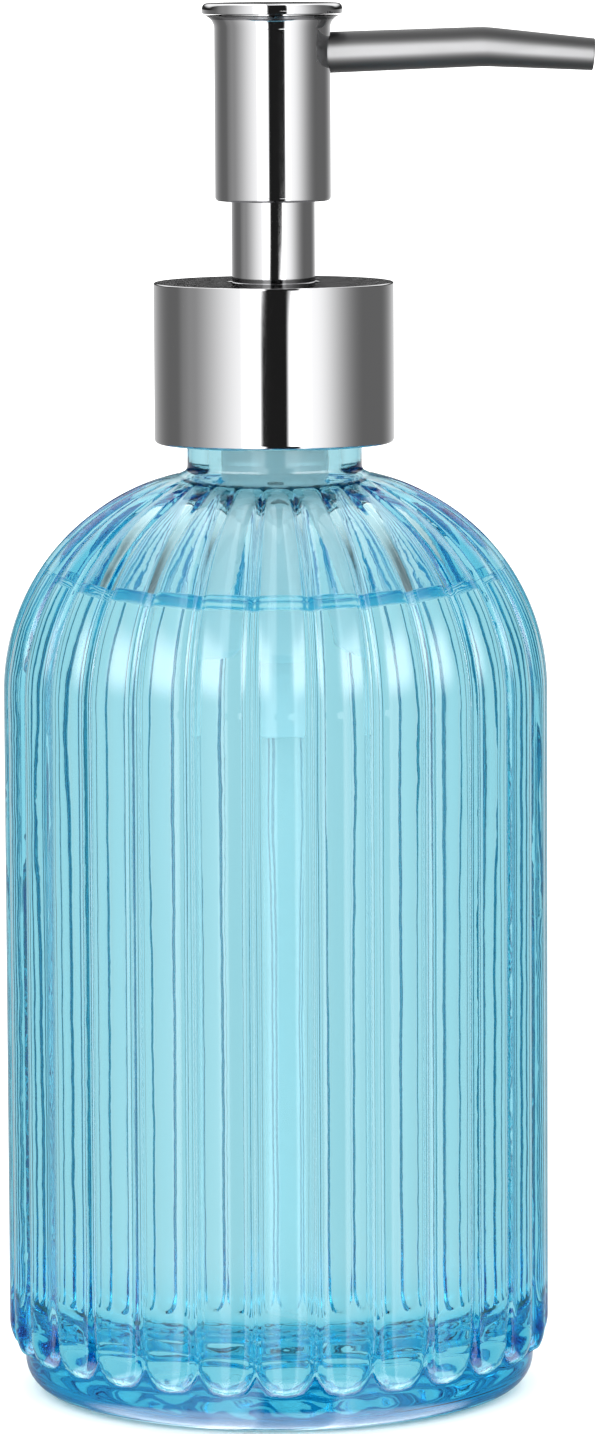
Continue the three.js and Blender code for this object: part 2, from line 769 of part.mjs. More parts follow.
// Tapered tube, bent once. Its outside is the spout's own less inset, and it ends tipInset short of
// the spout's tip.
function spoutTube(inset, wall, tipInset) {
  const sides = COARSE;
  const softening = 1.2; // half length of the bend
  const lipRound = 0.12;
  const bendZ = SPOUT_AXIS_HEIGHT + SPOUT_BEND_X * Math.tan(rad(SPOUT_RISE_DEG));
  const station = (x, radius) => {
    const slopeDeg = x < SPOUT_BEND_X ? SPOUT_RISE_DEG : -SPOUT_DROP_DEG;
    return { x, z: bendZ + (x - SPOUT_BEND_X) * Math.tan(rad(slopeDeg)), slopeDeg, radius };
  };
  const middle = { x: SPOUT_BEND_X, z: bendZ - 0.02, radius: SPOUT_BEND_RADIUS };
  middle.slopeDeg = (SPOUT_RISE_DEG - SPOUT_DROP_DEG) / 2;
  const tip = SPOUT_REACH - tipInset;
  const stations = [
    station(SPOUT_START, SPOUT_ROOT_RADIUS),
    station(SPOUT_BEND_X - softening, SPOUT_BEND_RADIUS),
    middle,
    station(SPOUT_BEND_X + softening, SPOUT_BEND_RADIUS),
    station(tip - 0.3, SPOUT_TIP_RADIUS),
    station(tip, SPOUT_TIP_RADIUS - lipRound),
  ];
  const ringAt = ({ x, z, slopeDeg }, radius) =>
    Array.from({ length: sides }, (_, i) => {
      const around = (2 * Math.PI * i) / sides;
      const [side, up] = [radius * Math.cos(around), radius * Math.sin(around)];
      const slope = rad(slopeDeg);
      return new THREE.Vector3(x - up * Math.sin(slope), side, z + up * Math.cos(slope));
    });
  const outside = stations.map((s) => ringAt(s, s.radius - inset));
  const inside = stations.map((s) => {
    const lip = s.radius < SPOUT_TIP_RADIUS ? lipRound : 0;
    return ringAt(s, s.radius + lip - inset - wall);
  });
  return skin([...outside, ...inside.reverse()], true);
}

const spout = () => spoutTube(0, SPOUT_WALL, 0);

// Plastic tube inside the spout, so that the soap doesn't touch the steel.
const spoutLiner = () => spoutTube(SPOUT_WALL + SLIDE_GAP, 0.4, 0.8);

// ---------------------------------------------------------------- assembly

const dispenser = new THREE.Group();

function place(parent, name, geometry, material, z = 0) {
  const mesh = new THREE.Mesh(geometry, material);
  mesh.name = name;
  mesh.position.z = z;
  parent.add(mesh);
}

const bottle = new THREE.Group();
place(bottle, "glass_bottle", glassBottle(), blueGlass);

const collar = new THREE.Group();
place(collar, "collar_shell", collarShell(), steel);
place(collar, "threaded_cap", threadedCap(), whitePlastic);

const pump = new THREE.Group();
place(pump, "stem_guide", stemGuide(), darkPlastic);
place(pump, "pump_barrel", pumpBarrel(), whitePlastic);
place(pump, "neck_gasket", neckGasket(), rubber);
place(pump, "dip_tube", dipTube(), clearPlastic);
place(pump, "ball_retainer", ballRetainer(), whitePlastic);
place(pump, "return_spring", returnSpring(), springSteel);

const valve = new THREE.Group();
const BALL_CENTRE = BARREL_FLOOR + 1.3; // resting on its seat
place(valve, "check_ball", checkBall(), springSteel, BALL_CENTRE);

const piston = new THREE.Group();
place(piston, "piston_seal", pistonSeal(), clearPlastic);

const head = new THREE.Group();
place(head, "piston_stem", pistonStem(), whitePlastic);
place(head, "stem_plug", stemPlug(), whitePlastic);
place(head, "stem_sleeve", stemSleeve(), steel);
place(head, "head_core", headCore(), whitePlastic);
place(head, "head_shell", headShell(), steel);
place(head, "head_cap", headCap(), steel);
place(head, "spout", spout(), steel);
place(head, "spout_liner", spoutLiner(), whitePlastic);

dispenser.add(bottle, collar, pump, valve, piston, head);

export default dispenser;
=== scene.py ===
import math

import bpy
import numpy as np
from mathutils import Matrix, Vector


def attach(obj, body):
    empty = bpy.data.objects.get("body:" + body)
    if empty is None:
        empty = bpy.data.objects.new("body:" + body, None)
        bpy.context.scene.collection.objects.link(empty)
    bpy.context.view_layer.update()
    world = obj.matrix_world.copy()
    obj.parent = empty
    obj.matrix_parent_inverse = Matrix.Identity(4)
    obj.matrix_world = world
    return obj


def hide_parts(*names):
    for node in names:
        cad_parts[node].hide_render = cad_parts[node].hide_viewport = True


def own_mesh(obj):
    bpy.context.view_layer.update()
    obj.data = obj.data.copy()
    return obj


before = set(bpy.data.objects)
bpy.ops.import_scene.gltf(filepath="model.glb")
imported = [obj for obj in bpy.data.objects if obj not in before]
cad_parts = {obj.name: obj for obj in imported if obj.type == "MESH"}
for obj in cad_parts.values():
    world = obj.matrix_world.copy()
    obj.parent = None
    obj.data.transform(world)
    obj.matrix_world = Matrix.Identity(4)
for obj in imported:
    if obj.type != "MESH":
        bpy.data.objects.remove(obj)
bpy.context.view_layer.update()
scene = bpy.context.scene
MM = 0.001

# ---------------------------------------------------------------- camera

AZIMUTH = math.radians(-1.34)
DISTANCE, EYE_HEIGHT = 1.0, 0.2146
AIM_ASIDE, AIM_HEIGHT = 0.00342, 0.0964
ROLL = math.radians(-0.297)

camera = bpy.data.objects.new("camera", bpy.data.cameras.new("camera"))
scene.collection.objects.link(camera)
scene.camera = camera
camera.location = (DISTANCE * math.sin(AZIMUTH), -DISTANCE * math.cos(AZIMUTH), EYE_HEIGHT)
aim = Vector((AIM_ASIDE * math.cos(AZIMUTH), AIM_ASIDE * math.sin(AZIMUTH), AIM_HEIGHT))
camera.rotation_mode = "QUATERNION"
camera.rotation_quaternion = (aim - camera.location).to_track_quat("-Z", "Y")
camera.rotation_quaternion @= Matrix.Rotation(ROLL, 3, "Z").to_quaternion()
camera.data.lens = 177.4
camera.data.sensor_width = 36
camera.data.clip_start, camera.data.clip_end = 0.01, 100

# ---------------------------------------------------------------- light: a studio round the object


class Nodes:
    """Short names for the nodes of one tree."""

    def __init__(self, tree):
        self.tree = tree
        tree.nodes.clear()

    def add(self, kind, **settings):
        node = self.tree.nodes.new(kind)
        for name, value in settings.items():
            setattr(node, name, value)
        return node

    def put(self, value, socket):
        if isinstance(value, bpy.types.NodeSocket):
            self.tree.links.new(value, socket)
        else:
            socket.default_value = value

    def math(self, operation, *values, clamp=False):
        node = self.add("ShaderNodeMath", operation=operation, use_clamp=clamp)
        for value, socket in zip(values, node.inputs):
            self.put(value, socket)
        return node.outputs[0]

    def ease(self, value, start, end, low=0.0, high=1.0):
        """low before start, high after end, and a smooth step between them."""
        node = self.add("ShaderNodeMapRange", interpolation_type="SMOOTHSTEP")
        for socket, x in zip(node.inputs, (value, start, end, low, high)):
            self.put(x, socket)
        return node.outputs[0]

    def window(self, value, a, b, c, d):
        """1 between b and c, 0 before a and after d."""
        return self.math("MULTIPLY", self.ease(value, a, b), self.ease(value, c, d, 1.0, 0.0))

    def ramp(self, value, stops):
        """A colour ramp over [(position, grey or colour)]."""
        node = self.add("ShaderNodeValToRGB")
        elements = node.color_ramp.elements
        while len(elements) < len(stops):
            elements.new(0.5)
        for element, (at, colour) in zip(elements, stops):
            element.position = at
            element.color = (*colour, 1) if isinstance(colour, tuple) else (colour,) * 3 + (1,)
        self.put(value, node.inputs[0])
        return node.outputs[0]

    def from_screen(self, shown):
        """Light for a brightness between 0.04 and 1 on a screen."""
        return self.math("POWER", self.math("MULTIPLY_ADD", shown, 1 / 1.055, 0.055 / 1.055), 2.4)

    def noise(self, vector, scale, detail=2.0, roughness=0.5, distortion=0.0):
        node = self.add("ShaderNodeTexNoise")
        for name, value in zip(
            ("Vector", "Scale", "Detail", "Roughness", "Distortion"),
            (vector, scale, detail, roughness, distortion),
        ):
            if value is not None:
                self.put(value, node.inputs[name])
        return node.outputs["Fac"]

    def stretched(self, x, y, z):
        """Object coordinates with each axis scaled."""
        place = self.add("ShaderNodeTexCoord").outputs["Object"]
        node = self.add("ShaderNodeMapping")
        self.put(place, node.inputs["Vector"])
        node.inputs["Scale"].default_value = (x, y, z)
        return node.outputs[0]


# What polished steel mirrors, in degrees round from the front: a wide soft panel in front, a narrower one
# behind and a faint strip on the left. Each adds its brightness, as a screen shows it, to the room's.
ROOM_BRIGHTNESS = 0.375
PANEL_EDGES, PANEL_BRIGHTNESS = (-112, -22, 34, 96), 0.625
REAR_LEFT, REAR_RIGHT, REAR_BRIGHTNESS = (-118, -180), (122, 166), 0.39
STRIP_EDGES, STRIP_BRIGHTNESS = (-108, -98, -92, -80), 0.06
STEEL_REFLECTS = 0.59
# What shows through the glass, by the direction the light comes from.
GLASS_SEES = [
    (0, 0.65), (14, 0.65), (24, 0.9), (46, 0.85), (60, 0.5), (80, 0.2), (100, 0.25), (118, 0.9),
    (134, 1.2), (160, 1.18), (180, 1.1),
]
WHITE = 1.4
SOFT_ROOM = 2.6  # what matt faces are lit by

# Lights and cards round the object. Their windows are in degrees: up from the horizon, round from the front
# (ASIDE, the same on both sides), or turned as a steel face that mirrors them (FACING).
# A black card in front shows in steel as a dark stripe. LOW_SLIT is what changes where the collar mirrors it.
SLIT_HALF, SLIT_MIDDLE, SLIT_EDGE, SLIT_DARK = 17.0, 7.0, 3.0, 0.994
LOW_SLIT, LOW_SLIT_HALF, LOW_SLIT_MIDDLE = (-6.2, -5.2, -3.5, -2.8), -3.5, -7.9
FRONT_FACING, FRONT_LIGHT = (-34, -28, 28, 36), 1.0
FLAG_ASIDE, FLAG_HEIGHT, FLAG_DARK = (100, 130), (0.2, 0.9, 18, 26), 0.93
BACK_ASIDE, BACK_HEIGHT, BACK_LIGHT = (122, 138), (8, 20), 1.3
BOX_ASIDE, BOX_HEIGHT = (14, 34, 62, 92), (0, 14, 20, 38)
BOX_MIRRORED, BOX_THROUGH = 9.0, 4.5  # as glass mirrors it, and as it shows through glass
BELOW_HEIGHT, BELOW_LIGHT = (-38, -52), 4.0
SKY_HEIGHT, SKY_THROUGH = (40, 70), 1.4
GROUND_HEIGHT, GROUND_THROUGH = (-14, -36), 1.15
TWICE_HEIGHT, TWICE_DARK = (-2, 2, 14, 20), 0.85


def studio_world():
    world = bpy.data.worlds.new("studio")
    world.use_nodes = True
    scene.world = world
    n = Nodes(world.node_tree)
    split = n.add("ShaderNodeSeparateXYZ")
    n.put(n.add("ShaderNodeTexCoord").outputs["Generated"], split.inputs[0])
    x, y, z = split.outputs
    round_from_front = n.math("ARCTAN2", x, n.math("MULTIPLY", y, -1.0))
    azimuth = n.math("MULTIPLY", round_from_front, 180 / math.pi)
    elevation = n.math("MULTIPLY", n.math("ARCSINE", z), 180 / math.pi)
    aside = n.math("ABSOLUTE", azimuth)

    # what steel mirrors: the same at every height, for a face turned by the same angle from the front
    facing = n.math("ARCTAN2", x, n.math("SUBTRACT", 1.0, y))
    facing = n.math("MULTIPLY", facing, 360 / math.pi)
    shown = n.math("MULTIPLY_ADD", n.window(facing, *PANEL_EDGES), PANEL_BRIGHTNESS, ROOM_BRIGHTNESS)
    rear = n.math("ADD", n.ease(facing, *REAR_LEFT), n.ease(facing, *REAR_RIGHT))
    shown = n.math("MULTIPLY_ADD", rear, REAR_BRIGHTNESS, shown)
    shown = n.math("MULTIPLY_ADD", n.window(facing, *STRIP_EDGES), STRIP_BRIGHTNESS, shown)
    ring = n.math("MULTIPLY", n.from_screen(shown), 1 / STEEL_REFLECTS)
    low = n.window(elevation, *LOW_SLIT)
    half_slit = n.math("MULTIPLY_ADD", low, LOW_SLIT_HALF, SLIT_HALF)
    slit_at = n.math("MULTIPLY_ADD", low, LOW_SLIT_MIDDLE, SLIT_MIDDLE)
    off_slit = n.math("SUBTRACT", n.math("ABSOLUTE", n.math("SUBTRACT", facing, slit_at)), half_slit)
    slit = n.ease(off_slit, -SLIT_EDGE, SLIT_EDGE, 1, 0)
    flag = n.math("MULTIPLY", n.ease(aside, *FLAG_ASIDE), n.window(elevation, *FLAG_HEIGHT))
    shade = n.math(
        "MULTIPLY",
        n.math("MULTIPLY_ADD", slit, -SLIT_DARK, 1.0),
        n.math("MULTIPLY_ADD", flag, -FLAG_DARK, 1.0),
    )
    front = n.math("MULTIPLY_ADD", n.window(facing, *FRONT_FACING), FRONT_LIGHT, 1.0)
    mirrored = n.math("MULTIPLY", n.math("MULTIPLY", ring, front), shade)
    back = n.math("MULTIPLY", n.ease(elevation, *BACK_HEIGHT), n.ease(aside, *BACK_ASIDE, 0.0, BACK_LIGHT))
    mirrored = n.math("ADD", mirrored, back)

    # what shows through glass
    stops = [(a / 180, v) for a, v in GLASS_SEES]
    behind = n.ramp(n.math("MULTIPLY", aside, 1 / 180), stops)
    to_sky = n.math("SUBTRACT", SKY_THROUGH, behind)
    above = n.math("MULTIPLY_ADD", n.ease(elevation, *SKY_HEIGHT), to_sky, behind)
    to_ground = n.math("SUBTRACT", GROUND_THROUGH, above)
    through = n.math("MULTIPLY_ADD", n.ease(elevation, *GROUND_HEIGHT), to_ground, above)

    # two soft boxes, one on each side, and a light from below: glass mirrors them, and steel doesn't
    box = n.math("MULTIPLY", n.window(aside, *BOX_ASIDE), n.window(elevation, *BOX_HEIGHT))
    below = n.ease(elevation, *BELOW_HEIGHT, 0.0, BELOW_LIGHT)
    path = n.add("ShaderNodeLightPath").outputs
    first = n.math("LESS_THAN", path["Glossy Depth"], 1.5)
    on_glass = n.math("MULTIPLY", first, path["Is Singular Ray"])
    lights = n.math("MULTIPLY_ADD", box, BOX_MIRRORED, below)
    mirrored = n.math("MULTIPLY_ADD", on_glass, lights, mirrored)
    twice = n.math("MULTIPLY", n.math("SUBTRACT", 1.0, first), n.window(elevation, *TWICE_HEIGHT))
    mirrored = n.math("MULTIPLY", mirrored, n.math("MULTIPLY_ADD", twice, -TWICE_DARK, 1.0))
    through = n.math("MULTIPLY_ADD", box, BOX_THROUGH, through)

    def choose(share, a, b):
        node = n.add("ShaderNodeMix", data_type="FLOAT")
        n.put(share, node.inputs[0])
        n.put(a, node.inputs[2])
        n.put(b, node.inputs[3])
        return node.outputs[0]

    strength = choose(path["Is Transmission Ray"], mirrored, through)
    strength = choose(n.math("GREATER_THAN", path["Diffuse Depth"], 0.5), strength, SOFT_ROOM)
    strength = choose(path["Is Camera Ray"], strength, WHITE)
    background = n.add("ShaderNodeBackground")
    n.put(strength, background.inputs["Strength"])
    n.put(background.outputs[0], n.add("ShaderNodeOutputWorld").inputs[0])


studio_world()
scene.world.cycles.sampling_method = "NONE"  # the room is even, so bounces find it well enough
scene.view_settings.view_transform = "Standard"
scene.cycles.max_bounces = 32
scene.cycles.transmission_bounces = 32
scene.cycles.glossy_bounces = 32
scene.cycles.transparent_max_bounces = 24

# ---------------------------------------------------------------- materials


def material(name, finish):
    made = bpy.data.materials.new(name)
    made.use_nodes = True
    n = Nodes(made.node_tree)
    shader = n.add("ShaderNodeBsdfPrincipled")
    output = n.add("ShaderNodeOutputMaterial")
    n.put(shader.outputs[0], output.inputs["Surface"])
    finish(n, shader.inputs, output)
    return made


def bump(n, height, distance, strength=1.0):
    node = n.add("ShaderNodeBump")
    node.inputs["Strength"].default_value = strength
    node.inputs["Distance"].default_value = distance
    n.put(height, node.inputs["Height"])
    return node.outputs[0]


# Painted shade: a metal's colour is darkened where its face turns away from the camera. FADE_LEFT of its
# brightness stays, and half the rest goes by FADE_HALF.
FADE_LEFT, FADE_HALF, FADE_POWER = 0.06, 0.054, 2.1


def metal(name, colour, roughness, spread, wave=0.0, streaks=(60, 60, 60), painted_edge_shade=False):
    """Bare metal: roughness varies by spread over fine streaks, and the face is wavy by wave metres. It can
    also be given painted shade: its colour darkened where the face turns away from the camera."""

    def finish(n, sockets, output):
        # painted shade: the base colour is darkened as the face turns away from the camera
        if painted_edge_shade:
            away = n.add("ShaderNodeLayerWeight")
            away.inputs["Blend"].default_value = 0.5
            gone = n.math("POWER", n.math("DIVIDE", away.outputs["Facing"], FADE_HALF), FADE_POWER)
            share = n.math("ADD", n.math("DIVIDE", 1 - FADE_LEFT, n.math("ADD", gone, 1.0)), FADE_LEFT)
            edge_shaded_colour = n.add("ShaderNodeVectorMath", operation="SCALE")
            n.put(colour, edge_shaded_colour.inputs[0])
            n.put(share, edge_shaded_colour.inputs["Scale"])
            n.put(edge_shaded_colour.outputs[0], sockets["Base Color"])
        else:
            sockets["Base Color"].default_value = (*colour, 1)
        sockets["Metallic"].default_value = 1.0
        smear = n.noise(n.stretched(*streaks), 12.0, 3.0)
        n.put(n.ease(smear, 0.3, 0.7, roughness - spread, roughness + spread), sockets["Roughness"])
        fine = n.noise(n.stretched(*streaks), 90.0, 2.0)
        n.put(bump(n, fine, wave), sockets["Normal"])

    return material(name, finish)


def plastic(name, colour, roughness, alpha=1.0, grain=2e-6):
    """Moulded plastic with a faint grain and a slight unevenness of colour."""

    def finish(n, sockets, output):
        cloud = n.noise(n.stretched(1, 1, 0.4), 180.0, 3.0)
        dull = tuple(c * 0.93 for c in colour)
        n.put(n.ramp(cloud, [(0.3, dull), (0.7, colour)]), sockets["Base Color"])
        n.put(n.ease(cloud, 0.3, 0.7, roughness - 0.05, roughness + 0.05), sockets["Roughness"])
        sockets["Alpha"].default_value = alpha
        n.put(bump(n, n.noise(n.stretched(1, 1, 1), 2500.0, 2.0), grain), sockets["Normal"])

    return material(name, finish)


GLASS_INDEX, SOAP_INDEX = 1.5, 1.36
# How wet a glass face counts as: 0 is dry, 1 is under soap, and above 1 it bends light less still.
OPEN_FOOT = 1.2588  # the ring that the bottle stands on, where light goes straight through
PUSH_UP_WET, FLOOR_WET = 1.05, 1.12  # the hollow under the bottle, and its floor inside


def blue_glass():
    """Tinted glass. Where soap wets it, light bends by the ratio of the two indices."""

    def finish(n, sockets, output):
        sockets["Base Color"].default_value = (0.91, 0.981, 0.9925, 1)
        sockets["Transmission Weight"].default_value = 1.0
        sockets["Roughness"].default_value = 0.0
        wet = n.add("ShaderNodeAttribute", attribute_name="wet").outputs["Fac"]
        step = GLASS_INDEX / SOAP_INDEX - GLASS_INDEX
        n.put(n.math("MULTIPLY_ADD", wet, step, GLASS_INDEX), sockets["IOR"])
        inside = n.add("ShaderNodeAttribute", attribute_name="inside").outputs["Fac"]
        broad = n.noise(n.stretched(1, 1, 0.35), 140.0, 1.0)
        fine = n.noise(n.stretched(1, 1, 0.7), 560.0, 2.0)
        ripple = n.math("MULTIPLY_ADD", n.math("MULTIPLY", fine, inside), 0.6, broad)
        n.put(bump(n, ripple, 4e-5), sockets["Normal"])
        tint = n.add("ShaderNodeVolumeAbsorption")
        tint.inputs["Color"].default_value = (0.056, 0.778, 0.906, 1)
        tint.inputs["Density"].default_value = 90.0
        n.put(tint.outputs[0], output.inputs["Volume"])

    return material("blue_glass", finish)


def clear_soap():
    """Clear liquid. Its side lies in the glass, which does the bending there, so only its top bends light."""

    def finish(n, sockets, output):
        sockets["Base Color"].default_value = (1, 1, 1, 1)
        sockets["Transmission Weight"].default_value = 1.0
        sockets["Roughness"].default_value = 0.0
        side = n.add("ShaderNodeAttribute", attribute_name="side").outputs["Fac"]
        n.put(n.math("MULTIPLY_ADD", side, 1.0002 - SOAP_INDEX, SOAP_INDEX), sockets["IOR"])
        ripple = n.noise(n.stretched(1, 1, 1), 60.0, 1.0)
        n.put(bump(n, ripple, 1e-5), sockets["Normal"])
        tint = n.add("ShaderNodeVolumeAbsorption")
        tint.inputs["Color"].default_value = (0.3, 0.85, 0.9, 1)
        tint.inputs["Density"].default_value = 2.0
        n.put(tint.outputs[0], output.inputs["Volume"])

    return material("clear_soap", finish)


STEEL = (0.72, 0.72, 0.73)
polished = metal("polished_steel", STEEL, 0.045, 0.004, 1e-8)
# satin steel for the spout, with painted shade: its colour darkens towards its edges as seen from the camera
satin = metal("satin_steel_painted_shade", (0.9, 0.9, 0.91), 0.45, 0.03, 1e-7, (8, 60, 60), painted_edge_shade=True)
# dark steel: painted shade on faces in and under the head's gaps, and on the collar's top a duller finish
# whose darkness is painted shade
turned = metal("turned_steel_painted_shade", (0.3, 0.3, 0.31), 0.16, 0.04, 1e-6)
wire = metal("drawn_wire", (0.62, 0.63, 0.65), 0.25, 0.05, 2e-6)
white_plastic = plastic("white_plastic", (0.92, 0.94, 0.95), 0.4)
milky_plastic = plastic("milky_plastic", (0.95, 0.96, 0.97), 0.3, 0.8)
clear_plastic = plastic("clear_plastic", (0.95, 0.97, 0.98), 0.25, 0.14)
dark_plastic = plastic("dark_plastic", (0.04, 0.04, 0.045), 0.45)
foam = plastic("foam", (0.82, 0.83, 0.81), 0.85, 1.0, 2e-5)
glass = blue_glass()
soap = clear_soap()

# ---------------------------------------------------------------- shapes, in millimetres


def mesh_piece(name, points, quads, triangles, look, crease=35.0):
    """A piece from points in millimetres and faces as index arrays, shaded smooth up to the crease angle."""
    quads = np.asarray(quads, int).reshape(-1, 4)
    triangles = np.asarray(triangles, int).reshape(-1, 3)
    corners = np.concatenate([quads.ravel(), triangles.ravel()])
    starts = np.concatenate(
        [4 * np.arange(len(quads)), quads.size + 3 * np.arange(len(triangles))]
    )
    mesh = bpy.data.meshes.new(name)
    mesh.vertices.add(len(points))
    mesh.vertices.foreach_set("co", (np.asarray(points, float) * MM).ravel())
    mesh.loops.add(len(corners))
    mesh.loops.foreach_set("vertex_index", corners)
    mesh.polygons.add(len(starts))
    mesh.polygons.foreach_set("loop_start", starts)
    mesh.update(calc_edges=True)
    mesh.shade_smooth()
    mesh.set_sharp_from_angle(angle=math.radians(crease))
    mesh.materials.append(look)
    piece = bpy.data.objects.new(name, mesh)
    scene.collection.objects.link(piece)
    return piece


def arc(centre_r, centre_z, radius, start, end, steps):
    """[radius, height] on an arc, both ends included."""
    angles = np.radians(np.linspace(start, end, steps + 1))
    return np.c_[centre_r + radius * np.cos(angles), centre_z + radius * np.sin(angles)].tolist()


def rounded(profile, steps=4):
    """A closed profile whose corners (r, z, round) become arcs of that radius."""
    out = []
    for i, corner in enumerate(profile):
        if len(corner) < 3:
            out.append(list(corner))
            continue
        here = np.array(corner[:2], float)
        before = np.array(profile[i - 1][:2], float) - here
        after = np.array(profile[(i + 1) % len(profile)][:2], float) - here
        size_before, size_after = np.linalg.norm(before), np.linalg.norm(after)
        before, after = before / size_before, after / size_after
        half = math.acos(max(-1, min(1, before @ after))) / 2
        cut = min(corner[2] / math.tan(half), 0.48 * size_before, 0.48 * size_after)
        radius = cut * math.tan(half)
        middle = (before + after) / np.linalg.norm(before + after)
        centre = here + middle * radius / math.sin(half)
        a, b = here + before * cut - centre, here + after * cut - centre
        sweep = math.pi - 2 * half
        for t in np.linspace(0, 1, steps + 1):
            spoke = (a * math.sin((1 - t) * sweep) + b * math.sin(t * sweep)) / math.sin(sweep)
            out.append((centre + spoke).tolist())
    return out


def supported(profile, margin=0.08):
    """The profile with a point close to both ends of each long side, so that a rounded corner shades within
    its own width."""
    points = [np.array(p[:2], float) for p in profile]
    closed = points[0][0] > 1e-6
    out = []
    for i, here in enumerate(points):
        out.append(here)
        beyond = points[(i + 1) % len(points)]
        length = np.linalg.norm(beyond - here)
        if length > 5 * margin and (closed or i + 1 < len(points)):
            step = (beyond - here) * margin / length
            out += [here + step, beyond - step]
    return np.array(out)


def turn(name, profile, look, columns=96, crease=35.0):
    """Solid of revolution. The profile runs anticlockwise, radius to the right. It starts and ends on the
    axis, or else is closed."""
    rows = supported(profile)
    on_axis = rows[:, 0] < 1e-6
    angles = 2 * np.pi * np.arange(columns) / columns
    index, points, count = [], [], 0
    for (r, z), pole in zip(rows, on_axis):
        if pole:
            index.append(np.full(columns, count))
            points.append([[0, 0, z]])
            count += 1
        else:
            index.append(count + np.arange(columns))
            points.append(np.c_[r * np.cos(angles), r * np.sin(angles), np.full(columns, z)])
            count += columns
    quads, triangles = [], []
    last = len(rows) - 1 if on_axis[0] else len(rows)
    for i in range(last):
        a, b = index[i], index[(i + 1) % len(rows)]
        pole_a, pole_b = on_axis[i], on_axis[(i + 1) % len(rows)]
        a2, b2 = np.roll(a, -1), np.roll(b, -1)
        if pole_a and pole_b:
            continue
        if pole_a:
            triangles.append(np.c_[a, b2, b])
        elif pole_b:
            triangles.append(np.c_[a, a2, b])
        else:
            quads.append(np.c_[a, a2, b2, b])
    return mesh_piece(
        name,
        np.concatenate(points),
        np.concatenate(quads),
        np.concatenate(triangles) if triangles else [],
        look,
        crease,
    )


def sweep(name, rings, look, crease=35.0):
    """A closed tube wall: rings of points, the last joined to the first."""
    rings = np.asarray(rings, float)
    count, sides = rings.shape[:2]
    at = np.arange(count * sides).reshape(count, sides)
    quads = np.stack([at, np.roll(at, -1, 1), np.roll(np.roll(at, -1, 1), -1, 0), np.roll(at, -1, 0)], -1)
    return mesh_piece(name, rings.reshape(-1, 3), quads, [], look, crease)


def cut(piece, *cutters, crease=35.0):
    """Cuts the cutters out of a piece, and removes them."""
    for cutter in cutters:
        modifier = piece.modifiers.new("cut", "BOOLEAN")
        modifier.operation, modifier.solver, modifier.object = "DIFFERENCE", "EXACT", cutter
    bpy.context.view_layer.update()
    done = bpy.data.meshes.new_from_object(piece.evaluated_get(bpy.context.evaluated_depsgraph_get()))
    piece.modifiers.clear()
    piece.data = done
    done.shade_smooth()
    done.set_sharp_from_angle(angle=math.radians(crease))
    for cutter in cutters:
        bpy.data.objects.remove(cutter)
    return piece


def rod(radius, start, end, height, tilt=0.0, columns=64):
    """A cutter: a cylinder along +X, tipped up by tilt degrees about its point over the axis."""
    made = turn("cutter", [(0, start), (radius, start), (radius, end), (0, end)], polished, columns)
    made.data.transform(Matrix.Rotation(math.pi / 2, 4, "Y"))
    made.data.transform(Matrix.Rotation(-math.radians(tilt), 4, "Y"))
    made.data.transform(Matrix.Translation((0, 0, height * MM)))
    return made


def block(size, at, turn_deg=0.0):
    """A cutter: a box of that size centred there, turned about the axis."""
    half = np.array(size) / 2
    signs = np.array([[x, y, z] for z in (-1, 1) for y in (-1, 1) for x in (-1, 1)])
    faces = [(0, 2, 3, 1), (4, 5, 7, 6), (0, 1, 5, 4), (2, 6, 7, 3), (0, 4, 6, 2), (1, 3, 7, 5)]
    made = mesh_piece("cutter", signs * half + np.array(at), faces, [], polished)
    made.data.transform(Matrix.Rotation(math.radians(turn_deg), 4, "Z"))
    return made


# ---------------------------------------------------------------- glass bottle and soap

RIBS = 28
RIB_PITCH = 8.7
CREST_RADIUS = 38.74
RIB_DEPTH = 1.6
RIB_ROUND, RIB_FACE = 9.3, 3.3  # radius of a rib's face, and half its width
GROOVE_WIDTH, GROOVE_FROM, GROOVE_SLOPE = 1.05, 0.605, 0.38  # beside the face: half a groove, how it starts
RIB_END = 9.8  # height of the centre of a rib's round lower end
DRUM_RADIUS = 36.5
SHOULDER_START, SHOULDER_ARC, SHOULDER_CENTRE = 100.3, 31.6, 7.15
INSIDE_RADIUS, INSIDE_ARC = 34.6, 27.45
NECK_RADIUS, NECK_BORE, LIP_TOP = 12.4, 9.4, 151.3
NECK_ROOT = 5.0  # round where the inside turns up into the neck
THREAD_PITCH, THREAD_TURNS, THREAD_TOP = 25.4 / 6, 1.25, 148.0
FLOOR_TOP, FLOOR_DOME, CORNER = 7.2, 1.3, 9.0
WET_CORNER = 12.0  # height up to which the inside counts as its floor
HEEL_RADIUS, HEEL_HEIGHT = 32.0, 4.6  # where the flat base ends, and how high its round edge goes
FOOT_INSIDE, FOOT_OUTSIDE, FOOT_HEIGHT = 27.5, 31.9, 5.0  # what counts as the ring that it stands on
SOAP_LEVEL, MENISCUS = 112.9, 3.3
SOAP_OVERLAP = 0.08  # how far the soap's side lies in the glass
SOAP_STEPS = 35  # rows of the shoulder's inside that soap covers
ACROSS_RIB = [-4.35, -4.12, -3.86, -3.56, -3.25, -2.75, -1.75, 0, 1.75, 2.75, 3.25, 3.56, 3.86, 4.12]


def rib_drop(s):
    """How far a rib's face lies under its crest, in millimetres, at distance s from its middle line."""
    s = np.minimum(np.abs(s), RIB_PITCH / 2)
    face = RIB_ROUND - np.sqrt(RIB_ROUND**2 - np.minimum(s, RIB_FACE) ** 2)
    t = np.clip((s - RIB_FACE) / GROOVE_WIDTH, 0, 1)
    start, slope = GROOVE_FROM, GROOVE_SLOPE * GROOVE_WIDTH
    groove = (
        start * (2 * t**3 - 3 * t**2 + 1) + slope * (t**3 - 2 * t**2 + t) + RIB_DEPTH * (3 * t**2 - 2 * t**3)
    )
    return np.where(s < RIB_FACE, face, groove)


def smooth(t):
    t = np.clip(t, 0, 1)
    return t * t * (3 - 2 * t)


